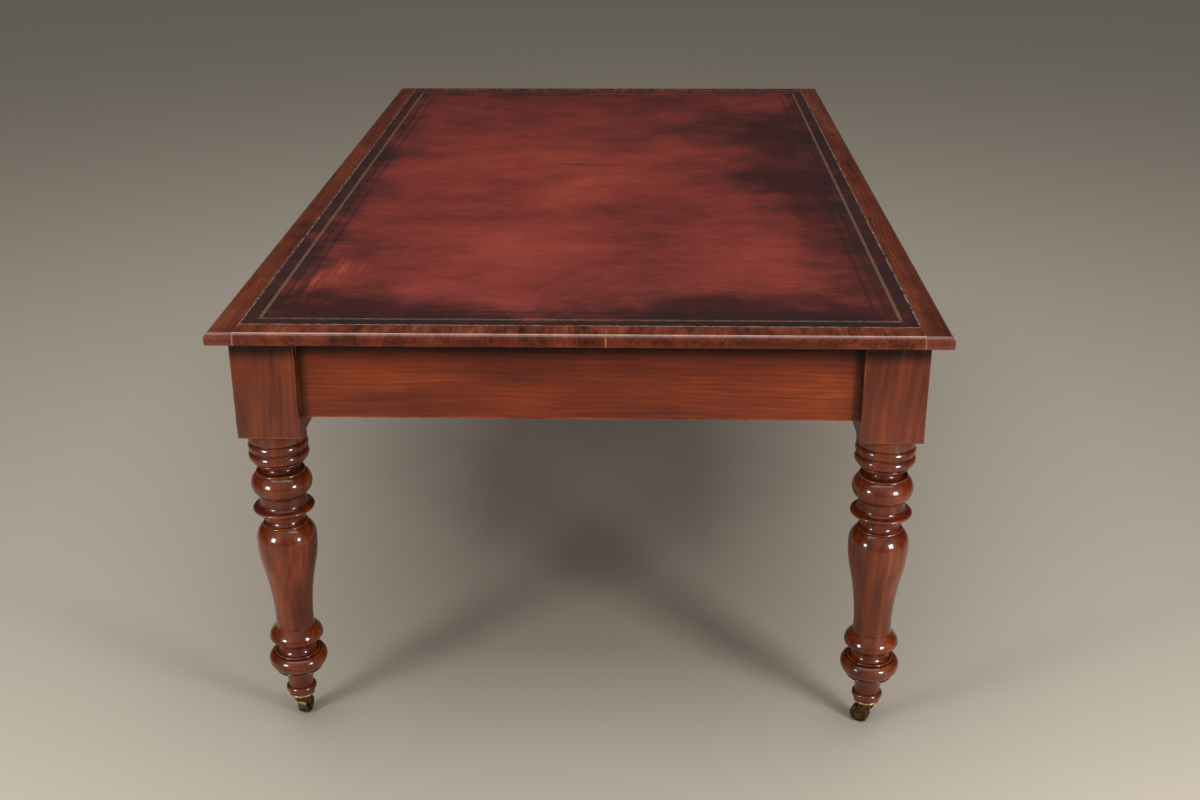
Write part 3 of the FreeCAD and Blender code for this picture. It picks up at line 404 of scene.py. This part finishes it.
dress([f"leg_{c}" for c in corners], woodMaterial("French-polished mahogany, legs", legMahogany, "Z"))
dress(["border_left", "border_right"],
      woodMaterial("French-polished mahogany, side borders", sideMahogany, "Y", seed=0.37))
hideLow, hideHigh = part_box("leather_inset")
endJointSizes = {   # the pale lines across the end borders, mm
    "place": 46, "width": 0.9,               # the butt near the middle
    "leftWidth": 1.6, "rightWidth": 2.4,     # where they meet the side borders
}
endJoints = ((endJointSizes["place"] * mm, endJointSizes["width"] * mm),
             (hideLow.x, endJointSizes["leftWidth"] * mm),
             (hideHigh.x, endJointSizes["rightWidth"] * mm))
dress(["border_front", "border_back"],
      woodMaterial("French-polished mahogany, cross-banded end borders", crossMahogany, "Y", seed=0.37,
                   joints=endJoints))
dress(["end_rail_front", "end_rail_back"],
      woodMaterial("French-polished mahogany, end rails", railMahogany, "X", seed=0.81))
dress(["top_rail_left", "top_rail_right", "drawer_rail_left", "drawer_rail_right"],
      woodMaterial("French-polished mahogany, long rails", longRailMahogany, "Y", seed=1.13))
dress(["muntins"], woodMaterial("French-polished mahogany, muntins", mahogany, "Z", seed=0.53))
dress([f"drawer_front_{d}" for d in drawers],
      woodMaterial("French-polished mahogany, drawer fronts", mahogany, "Y", seed=1.91))
dress([f"drawer_knobs_{d}" for d in drawers],
      woodMaterial("French-polished mahogany, turned knobs", mahogany, "X", seed=0.29))
dress([f"drawer_box_{d}" for d in drawers], woodMaterial("bare oak lining", liningOak, "X", seed=0.4))
dress(["drawer_runners", "drawer_kickers", "drawer_guides", "drawer_stops", "top_buttons"],
      woodMaterial("sawn pine, cross bearers", carcasePine, "X", seed=0.2))
dress(["centre_rail", "top_board"], woodMaterial("sawn pine, long boards", carcasePine, "Y", seed=0.6))
dress(["corner_blocks"], woodMaterial("sawn pine, glue blocks", carcasePine, "Z", seed=0.9))
print("woods done")

# Castors: old brass castings, brown with wear, bright where they are rubbed
oldBrass = {
    "stops": ((0.36, "#2a1f18"), (0.52, "#5b4530"), (0.72, "#b08f60")),
    "rubbed": "#b08f60", "rubbedStart": 0.25, "rubbedFull": 0.5,
    "mottle": 4, "pitDepth": 0.3, "fade": 1,     # mm
    "roughness": (0.36, 0.6),
}


def brassMaterial(name, brass, rubbedLow, rubbedHigh):
    # between the two heights, in metres, the patina is rubbed away
    material, tree = newMaterial(name)
    local = addNode(tree, "TexCoord").outputs["Object"]
    mottle = addNode(tree, "TexNoise", {"Vector": local, "Scale": 1 / (brass["mottle"] * mm), "Detail": 6.0,
                                        "Roughness": 0.6})
    patina = addNode(tree, "ValToRGB", {"Fac": mottle}, brass["stops"])
    height = addNode(tree, "SeparateXYZ", {"Vector": local}).outputs["Z"]
    fade = brass["fade"] * mm
    above = addNode(tree, "MapRange", {"Value": height, "From Min": rubbedLow,
                                       "From Max": rubbedLow + fade})
    below = addNode(tree, "MapRange", {"Value": height, "From Min": rubbedHigh,
                                       "From Max": rubbedHigh - fade})
    rubbed = addNode(tree, "Math", {0: above, 1: below}, operation="MULTIPLY")
    worn = addNode(tree, "Math", {0: rubbed, 1: mottle}, operation="MULTIPLY")
    share = addNode(tree, "MapRange", {"Value": worn, "From Min": brass["rubbedStart"],
                                       "From Max": brass["rubbedFull"]})
    colour = addNode(tree, "Mix", {"Factor": share, "A": patina, "B": toLinear(brass["rubbed"])},
                     data_type="RGBA")
    rough = addNode(tree, "MapRange", {"Value": mottle, "From Min": noiseLow, "From Max": noiseHigh,
                                       "To Min": brass["roughness"][1], "To Max": brass["roughness"][0]})
    relief = addNode(tree, "Bump", {"Height": mottle, "Strength": 0.15,
                                    "Distance": brass["pitDepth"] * mm})
    closeMaterial(tree, baseColor=colour, metallic=1.0, roughness=rough, normal=relief)
    return material


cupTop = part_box("castor_cup_front_left")[1].z
cupRim = 5 * mm          # the rubbed bead at the cup's mouth
treadTop = 3 * mm        # the wheels are rubbed up to here
nowhere = (-1.0, -0.9)   # heights below the floor, so that nothing is rubbed
dress([f"castor_cup_{c}" for c in corners],
      brassMaterial("cast brass cup, rubbed rim", oldBrass, cupTop - cupRim, cupTop + cupRim))
dress([f"castor_{kind}_{c}" for kind in ("horn", "axle") for c in corners],
      brassMaterial("cast brass horn", oldBrass, *nowhere))
dress([f"castor_wheel_{c}" for c in corners],
      brassMaterial("cast brass wheel, rubbed tread", oldBrass, nowhere[0], treadTop))

# Screws: drawn steel, dulled by a faint bloom
drawnSteel = {
    "stops": ((0.35, "#4b463f"), (0.65, "#7d7a75")), "bloom": 3, "roughness": 0.45,   # bloom in mm
}


def steelMaterial(steel):
    material, tree = newMaterial("drawn steel, dulled")
    local = addNode(tree, "TexCoord").outputs["Object"]
    bloom = addNode(tree, "TexNoise", {"Vector": local, "Scale": 1 / (steel["bloom"] * mm), "Detail": 4.0})
    colour = addNode(tree, "ValToRGB", {"Fac": bloom}, steel["stops"])
    closeMaterial(tree, baseColor=colour, metallic=1.0, roughness=steel["roughness"])
    return material


dress(["top_screws", "cup_screws"], steelMaterial(drawnSteel))
print("metals done")

# Leather: a glazed oxblood hide with a smoked edge, tooled blind and in gold
hide = {
    "stops": ((0.26, "#3e1d1b"), (0.40, "#5a2823"), (0.51, "#752f28"), (0.61, "#85362b"),
              (0.75, "#97412e")),
    "cloud": (260, 240), "stroke": (120, 75), "wisp": (36, 11),   # mottling, mm across and along
    "strokeShare": 0.42, "wispShare": 0.28, "contrast": 0.84,
    "smoke": "#2c1f1d", "smokeShare": 0.88,      # a stain from the edge inwards
    "smokeStart": 12, "smokeWidth": 85, "smokeSize": 110, "smokeWander": 45,      # its reach, mm
    "wornEdge": "#978c85", "wornEdgeWidth": 5.0, "wornSize": 12,   # mm
    "wornFullShare": 0.4, "wornStart": 0.36, "wornFull": 0.60, "wornShare": 0.75,
    # rubbed and stained places: middle x and y, half sizes in metres, lighter or darker
    "patches": ((-0.06, 0.07, 0.40, 0.46, 0.13), (-0.17, -0.54, 0.32, 0.28, 0.10),
                (0.30, -0.60, 0.22, 0.20, 0.07), (-0.34, 0.30, 0.18, 0.46, 0.07),
                (0.37, -0.05, 0.19, 0.18, -0.19), (0.34, 0.50, 0.30, 0.34, -0.17),
                (-0.20, -0.34, 0.14, 0.07, -0.05), (0.36, -0.92, 0.38, 0.14, -0.22),
                (-0.41, -0.90, 0.26, 0.18, -0.30), (0.0, -0.95, 0.60, 0.12, -0.18),
                (0.46, 0.0, 0.18, 0.95, -0.24), (0.50, -0.70, 0.22, 0.50, -0.10),
                (-0.52, 0.10, 0.10, 0.90, -0.10)),
    "raggedSize": 150, "raggedReach": (0.25, 0.35, 0.0),          # their outlines: mm, then metres
    "pullPlace": (-0.455, -0.76), "pullSize": (0.07, 0.22),       # red streaks drawn out along Y
    "pullStreak": (9, 150), "pullStart": 0.42, "pullFull": 0.66, "pullStrength": 0.34,
    "creaseStart": (-0.16, 0.120), "creaseEnd": (0.12, 0.094), "creaseWidth": 4.0, "creaseDepth": 0.6,
    "creaseWander": 0.06, "creaseLengthShare": 0.6, "creaseSpread": 0.2, "creaseStrength": 1.6,
    "scratch": (34, 1.1), "scratchStart": 0.71, "scratchFull": 0.78, "scratchShare": 0.35,
    "grain": 0.9, "grainDepth": 0.15, "wave": 70, "waveDepth": 1.0,   # mm
    "glazeLow": 0.35, "glazeHigh": 0.7, "roughness": (0.24, 0.38), "specular": 0.4,
}
tooling = {   # mm, with places counted from the edge of the leather inwards
    "edgeRoll": 0.9, "edgeDrop": 0.4,
    "bandStart": 25.0, "bandWidth": 6.4, "pressDepth": 0.15, "pressSlope": 0.3,
    "blindLines": (45.5, 49.0, 64.0, 67.5), "blindWidth": 1.6, "blindDepth": 0.2,
    "blindCore": 0.3, "scorchShare": 0.85,
    "lineWidth": 0.7, "lineInset": 0.35, "leafThickness": 0.06,
    "pitch": 6.0, "pearlRadius": 1.0, "lozengeLength": 3.0, "lozengeWidth": 1.9, "motifRise": 0.07,
    "motifTaperShare": 0.28,
}
goldLeaf = {   # worn thin where hands reach over the near and far edges
    "gold": "#a88262", "worn": "#56402f", "metallic": (0.1, 0.6), "roughness": 0.5,
    "wearSize": 9, "wearStart": 30, "wearEnd": 45,                # mm
    "wearShift": 0.10, "leafStart": 0.30, "leafFull": 0.54,
}
facingUp = 0.9                    # a face looks up where its normal's Z is over this
smoothAngle = math.radians(20)    # edges sharper than this stay crisp


def hidePlace(tree, local, low, high):
    # how far a point lies inside the edge of the leather
    middle = (low + high) / 2
    halfSize = (high - low) / 2
    centred = addNode(tree, "VectorMath", {0: local, 1: middle}, operation="SUBTRACT")
    outward = addNode(tree, "VectorMath", {0: centred}, operation="ABSOLUTE")
    inside = addNode(tree, "VectorMath", {0: halfSize, 1: outward}, operation="SUBTRACT")
    split = addNode(tree, "SeparateXYZ", {"Vector": inside})
    return addNode(tree, "Math", {0: split.outputs["X"], 1: split.outputs["Y"]}, operation="MINIMUM")


def softOval(tree, place, x, y, wide, deep, strength):
    # strength in the middle, fading to nothing at the half sizes
    scaled = addNode(tree, "Mapping", {"Vector": place, "Location": (x, y, 0), "Scale": (wide, deep, 1)},
                     vector_type="TEXTURE")
    flat = addNode(tree, "VectorMath", {0: scaled, 1: (1, 1, 0)}, operation="MULTIPLY")
    away = addNode(tree, "VectorMath", {0: flat}, operation="LENGTH")
    return addNode(tree, "MapRange", {"Value": away, "From Min": 1.0, "From Max": 0.0, "To Max": strength},
                   interpolation_type="SMOOTHSTEP")


def hideNoise(tree, local, cell, detail):
    # noise in cells of that many mm across and along the hide
    drawn = addNode(tree, "VectorMath", {0: local, 1: (1 / (cell[0] * mm), 1 / (cell[1] * mm), 1 / mm)},
                    operation="MULTIPLY")
    return addNode(tree, "TexNoise", {"Vector": drawn, "Scale": 1.0, "Detail": detail, "Roughness": 0.55})


def hideMaterial(leather, tool, low, high):
    material, tree = newMaterial("glazed oxblood hide")
    local = addNode(tree, "TexCoord").outputs["Object"]
    edge = hidePlace(tree, local, low, high)
    cloud = hideNoise(tree, local, leather["cloud"], detail=3.0)
    stroke = hideNoise(tree, local, leather["stroke"], detail=4.0)
    wisp = hideNoise(tree, local, leather["wisp"], detail=4.0)
    coarse = addNode(tree, "Mix", {"Factor": leather["strokeShare"], "A": cloud.outputs["Fac"],
                                   "B": stroke.outputs["Fac"]})
    mottled = addNode(tree, "Mix", {"Factor": leather["wispShare"], "A": coarse,
                                    "B": wisp.outputs["Fac"]})
    tone = addNode(tree, "MapRange", {"Value": mottled, "To Min": 0.5 - leather["contrast"] / 2,
                                      "To Max": 0.5 + leather["contrast"] / 2})
    wobble = addNode(tree, "TexNoise", {"Vector": local, "Scale": 1 / (leather["raggedSize"] * mm),
                                        "Detail": 4.0})
    centred = addNode(tree, "VectorMath", {0: wobble.outputs["Color"], 1: (0.5, 0.5, 0.5)},
                      operation="SUBTRACT")
    shift = addNode(tree, "VectorMath", {0: centred, 1: leather["raggedReach"]}, operation="MULTIPLY")
    ragged = addNode(tree, "VectorMath", {0: local, 1: shift}, operation="ADD")
    for patch in leather["patches"]:
        tone = addNode(tree, "Math", {0: tone, 1: softOval(tree, ragged, *patch)}, operation="ADD")
    # dye that ran along the hide near one corner
    pull = hideNoise(tree, local, leather["pullStreak"], detail=3.0)
    pulled = addNode(tree, "MapRange", {"Value": pull, "From Min": leather["pullStart"],
                                        "From Max": leather["pullFull"],
                                        "To Max": leather["pullStrength"]})
    pullMask = softOval(tree, ragged, *leather["pullPlace"], *leather["pullSize"], strength=1.0)
    pulledTone = addNode(tree, "Math", {0: pulled, 1: pullMask}, operation="MULTIPLY")
    tone = addNode(tree, "Math", {0: tone, 1: pulledTone}, operation="ADD")
    colour = addNode(tree, "ValToRGB", {"Fac": tone}, leather["stops"])
    # smoke-coloured stain, deepest at the edge and uneven inwards
    uneven = addNode(tree, "TexNoise", {"Vector": local, "Scale": 1 / (leather["smokeSize"] * mm),
                                        "Detail": 5.0, "Roughness": 0.6})
    wander = leather["smokeWander"] * mm
    reach = addNode(tree, "MapRange", {"Value": uneven, "From Min": noiseLow, "From Max": noiseHigh,
                                       "To Min": -wander, "To Max": wander})
    depth = addNode(tree, "Math", {0: edge, 1: reach}, operation="ADD")
    smoke = addNode(tree, "MapRange", {"Value": depth, "From Min": leather["smokeStart"] * mm,
                                       "From Max": leather["smokeWidth"] * mm,
                                       "To Min": leather["smokeShare"], "To Max": 0.0},
                    interpolation_type="SMOOTHSTEP")
    smoked = addNode(tree, "Mix", {"Factor": smoke, "A": colour, "B": toLinear(leather["smoke"])},
                     data_type="RGBA")
    # the heated tool scorched the blind lines darker
    scorched = smoked
    for line in tool["blindLines"]:
        offset = addNode(tree, "Math", {0: edge, 1: line * mm}, operation="SUBTRACT")
        near = addNode(tree, "MapRange", {"Value": addNode(tree, "Math", {0: offset}, operation="ABSOLUTE"),
                                          "From Min": tool["blindWidth"] * mm,
                                          "From Max": tool["blindCore"] * mm,
                                          "To Max": tool["scorchShare"]})
        scorched = addNode(tree, "Mix", {"Factor": near, "A": scorched, "B": toLinear(leather["smoke"])},
                           data_type="RGBA")
    # one short crease near the middle, darker along its line
    (startX, startY), (endX, endY) = leather["creaseStart"], leather["creaseEnd"]
    slope = (endY - startY) / (endX - startX)
    wavering = addNode(tree, "Mix", {"Factor": leather["creaseWander"], "A": local, "B": ragged},
                       data_type="VECTOR")
    axes = addNode(tree, "SeparateXYZ", {"Vector": wavering})
    onLine = addNode(tree, "Math", {0: axes.outputs["X"], 1: slope, 2: startY - slope * startX},
                     operation="MULTIPLY_ADD")
    offLine = addNode(tree, "Math", {0: axes.outputs["Y"], 1: onLine}, operation="SUBTRACT")
    fold = addNode(tree, "MapRange", {"Value": addNode(tree, "Math", {0: offLine}, operation="ABSOLUTE"),
                                      "From Min": leather["creaseWidth"] * mm, "From Max": 0.0})
    span = softOval(tree, local, (startX + endX) / 2, (startY + endY) / 2,
                    (endX - startX) * leather["creaseLengthShare"], leather["creaseSpread"],
                    leather["creaseStrength"])
    crease = addNode(tree, "Math", {0: fold, 1: span}, operation="MULTIPLY", use_clamp=True)
    creased = addNode(tree, "Mix", {"Factor": crease, "A": scorched, "B": toLinear(leather["smoke"])},
                      data_type="RGBA")
    # fine pale scratches, and the edge that is rubbed grey
    scratch = hideNoise(tree, local, leather["scratch"], detail=2.0)
    scratched = addNode(tree, "MapRange", {"Value": scratch, "From Min": leather["scratchStart"],
                                           "From Max": leather["scratchFull"],
                                           "To Max": leather["scratchShare"]})
    marked = addNode(tree, "Mix", {"Factor": scratched, "A": creased, "B": toLinear(leather["wornEdge"])},
                     data_type="RGBA")
    rub = addNode(tree, "TexNoise", {"Vector": local, "Scale": 1 / (leather["wornSize"] * mm),
                                     "Detail": 4.0})
    band = addNode(tree, "MapRange", {"Value": edge, "From Min": leather["wornEdgeWidth"] * mm,
                                      "From Max": leather["wornFullShare"] * leather["wornEdgeWidth"] * mm})
    worn = addNode(tree, "Math", {0: band, 1: rub}, operation="MULTIPLY")
    wornShare = addNode(tree, "MapRange", {"Value": worn, "From Min": leather["wornStart"],
                                           "From Max": leather["wornFull"],
                                           "To Max": leather["wornShare"]})
    finished = addNode(tree, "Mix", {"Factor": wornShare, "A": marked, "B": toLinear(leather["wornEdge"])},
                       data_type="RGBA")
    rough = addNode(tree, "MapRange", {"Value": tone, "From Min": leather["glazeLow"],
                                       "From Max": leather["glazeHigh"],
                                       "To Min": leather["roughness"][0],
                                       "To Max": leather["roughness"][1]})
    pebbles = addNode(tree, "TexVoronoi", {"Vector": local, "Scale": 1 / (leather["grain"] * mm)})
    wave = addNode(tree, "TexNoise", {"Vector": local, "Scale": 1 / (leather["wave"] * mm), "Detail": 2.0})
    slack = addNode(tree, "Bump", {"Height": wave, "Strength": 0.2,
                                   "Distance": leather["waveDepth"] * mm})
    folded = addNode(tree, "Bump", {"Height": crease, "Strength": 0.5,
                                    "Distance": -leather["creaseDepth"] * mm, "Normal": slack})
    relief = addNode(tree, "Bump", {"Height": pebbles, "Strength": 0.12,
                                    "Distance": leather["grainDepth"] * mm, "Normal": folded})
    closeMaterial(tree, baseColor=finished, roughness=rough, normal=relief,
                  specularIorLevel=leather["specular"])
    return material


def giltMaterial(leaf, low, high):
    material, tree = newMaterial("worn gold leaf on leather")
    local = addNode(tree, "TexCoord").outputs["Object"]
    rub = addNode(tree, "TexNoise", {"Vector": local, "Scale": 1 / (leaf["wearSize"] * mm), "Detail": 5.0,
                                     "Roughness": 0.65})
    along = addNode(tree, "SeparateXYZ", {"Vector": local}).outputs["Y"]
    fromEnd = addNode(tree, "Math", {0: (high.y - low.y) / 2,
                                     1: addNode(tree, "Math", {0: along}, operation="ABSOLUTE")},
                      operation="SUBTRACT")
    kept = addNode(tree, "MapRange", {"Value": fromEnd, "From Min": leaf["wearStart"] * mm,
                                      "From Max": leaf["wearEnd"] * mm,
                                      "To Min": -leaf["wearShift"], "To Max": leaf["wearShift"]})
    shown = addNode(tree, "Math", {0: rub, 1: kept}, operation="ADD")
    share = addNode(tree, "MapRange", {"Value": shown, "From Min": leaf["leafStart"],
                                       "From Max": leaf["leafFull"]})
    colour = addNode(tree, "Mix", {"Factor": share, "A": toLinear(leaf["worn"]),
                                   "B": toLinear(leaf["gold"])}, data_type="RGBA")
    bare = addNode(tree, "MapRange", {"Value": share, "To Min": leaf["metallic"][0],
                                      "To Max": leaf["metallic"][1]})
    closeMaterial(tree, baseColor=colour, metallic=bare, roughness=leaf["roughness"])
    return material


def startPlane(name, low, high, height):
    # a rectangle in edit mode with its one face selected
    bpy.ops.object.select_all(action="DESELECT")
    bpy.ops.mesh.primitive_plane_add(size=1, location=((low.x + high.x) / 2, (low.y + high.y) / 2, height))
    piece = bpy.context.object
    piece.name = name
    piece.scale = (high.x - low.x, high.y - low.y, 1)
    bpy.ops.object.transform_apply(location=True, rotation=True, scale=True)
    bpy.ops.object.mode_set(mode="EDIT")
    bpy.ops.mesh.select_all(action="SELECT")
    return piece


def inset(width, depth=0.0):
    bpy.ops.mesh.inset(thickness=width * mm, depth=depth * mm)


def makeHide(tool, low, high):
    # one sheet: rolled edge, the pressed band for the gold, then the blind lines
    piece = startPlane("tooled_hide", low, high, high.z - tool["edgeDrop"] * mm)
    inset(tool["edgeRoll"], tool["edgeDrop"])
    reached = tool["edgeRoll"]
    inset(tool["bandStart"] - reached)
    inset(tool["pressSlope"], -tool["pressDepth"])
    inset(tool["bandWidth"] - 2 * tool["pressSlope"])
    inset(tool["pressSlope"], tool["pressDepth"])
    reached = tool["bandStart"] + tool["bandWidth"]
    for line in tool["blindLines"]:
        inset(line - tool["blindWidth"] / 2 - reached)
        inset(tool["blindWidth"] / 2, -tool["blindDepth"])
        inset(tool["blindWidth"] / 2, tool["blindDepth"])
        reached = line + tool["blindWidth"] / 2
    bpy.ops.mesh.select_all(action="SELECT")
    bpy.ops.mesh.region_to_loop()
    down = low.z - high.z + tool["edgeDrop"] * mm
    bpy.ops.mesh.extrude_edges_move(TRANSFORM_OT_translate={"value": (0, 0, down)})
    bpy.ops.mesh.edge_face_add()
    bpy.ops.mesh.select_all(action="SELECT")
    bpy.ops.mesh.normals_make_consistent(inside=False)
    bpy.ops.object.mode_set(mode="OBJECT")
    return piece


def makeFillet(name, tool, low, high, insetBy):
    # one gold line all round, on the floor of the pressed band
    shrink = Vector((insetBy * mm, insetBy * mm, 0))
    piece = startPlane(name, low + shrink, high - shrink, high.z - tool["pressDepth"] * mm)
    inset(tool["lineWidth"])
    bpy.ops.mesh.delete(type="FACE")
    bpy.ops.object.mode_set(mode="OBJECT")
    leaf = piece.modifiers.new("leaf", "SOLIDIFY")
    leaf.thickness = tool["leafThickness"] * mm
    leaf.offset = 1.0
    bpy.ops.object.modifier_apply(modifier=leaf.name)
    return piece


def addMotif(tool, sides, length, width, place, turn):
    # a low boss with a smaller top: eight sides make a pearl and four a lozenge
    bpy.ops.object.select_all(action="DESELECT")
    bpy.ops.mesh.primitive_cylinder_add(vertices=sides, radius=0.5, depth=1, rotation=(0, 0, turn))
    boss = bpy.context.object
    bpy.ops.object.transform_apply(location=False, rotation=True, scale=False)
    boss.scale = (length * mm, width * mm, tool["leafThickness"] * mm)
    boss.location = place
    bpy.ops.object.transform_apply(location=True, rotation=True, scale=True)
    bpy.ops.object.mode_set(mode="EDIT")
    bpy.ops.mesh.select_mode(type="FACE")
    bpy.ops.mesh.select_all(action="DESELECT")
    bpy.ops.object.mode_set(mode="OBJECT")
    for face in boss.data.polygons:
        face.select = face.normal.z > facingUp
    bpy.ops.object.mode_set(mode="EDIT")
    inset(tool["motifTaperShare"] * width, tool["motifRise"])
    bpy.ops.object.mode_set(mode="OBJECT")
    return boss


def makeRoll(tool, low, high):
    # the roll's pattern between the two gold lines: pearl, lozenge, pearl, all the way round
    centre = tool["bandStart"] + tool["bandWidth"] / 2
    height = high.z - (tool["pressDepth"] - tool["leafThickness"] / 2) * mm
    rolled = []
    for along, other in (("x", "y"), ("y", "x")):
        for end in (-1, 1):
            start = getattr(low, along) + centre * mm
            run = getattr(high, along) - centre * mm - start
            count = round(run / (tool["pitch"] * mm))
            pitch = run / count
            level = end * (getattr(high, other) - centre * mm)
            for first, sides, size, turn in (
                    (0.0, 8, (2 * tool["pearlRadius"],) * 2, math.pi / 8),
                    (0.5, 4, (tool["lozengeLength"], tool["lozengeWidth"]), 0.0)):
                places = {along: start + first * pitch, other: level}
                sizes = size if along == "x" else size[::-1]
                boss = addMotif(tool, sides, *sizes, (places["x"], places["y"], height), turn)
                row = boss.modifiers.new("row", "ARRAY")
                row.count = count
                row.use_relative_offset = False
                row.use_constant_offset = True
                row.constant_offset_displace = (pitch, 0, 0) if along == "x" else (0, pitch, 0)
                bpy.ops.object.modifier_apply(modifier=row.name)
                rolled.append(boss)
    return rolled


def joinPieces(pieces, name):
    bpy.ops.object.select_all(action="DESELECT")
    for piece in pieces:
        piece.select_set(True)
    bpy.context.view_layer.objects.active = pieces[0]
    bpy.ops.object.join()
    pieces[0].name = name
    return pieces[0]


def finishPiece(piece, material):
    piece.data.materials.clear()
    piece.data.materials.append(material)
    bpy.ops.object.select_all(action="DESELECT")
    piece.select_set(True)
    bpy.context.view_layer.objects.active = piece
    bpy.ops.object.shade_smooth_by_angle(angle=smoothAngle)
    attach(piece, "frame")


tooledHide = makeHide(tooling, hideLow, hideHigh)
finishPiece(tooledHide, hideMaterial(hide, tooling, hideLow, hideHigh))
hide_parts("leather_inset")
linePlaces = (tooling["bandStart"] + tooling["pressSlope"] + tooling["lineInset"],
              tooling["bandStart"] + tooling["bandWidth"] - tooling["pressSlope"]
              - tooling["lineInset"] - tooling["lineWidth"])
giltLines = [makeFillet(f"line_{n}", tooling, hideLow, hideHigh, where)
             for n, where in enumerate(linePlaces)]
giltBand = joinPieces(giltLines + makeRoll(tooling, hideLow, hideHigh), "gilt_tooling")
finishPiece(giltBand, giltMaterial(goldLeaf, hideLow, hideHigh))
print("leather done:", len(giltBand.data.polygons), "faces of gold")
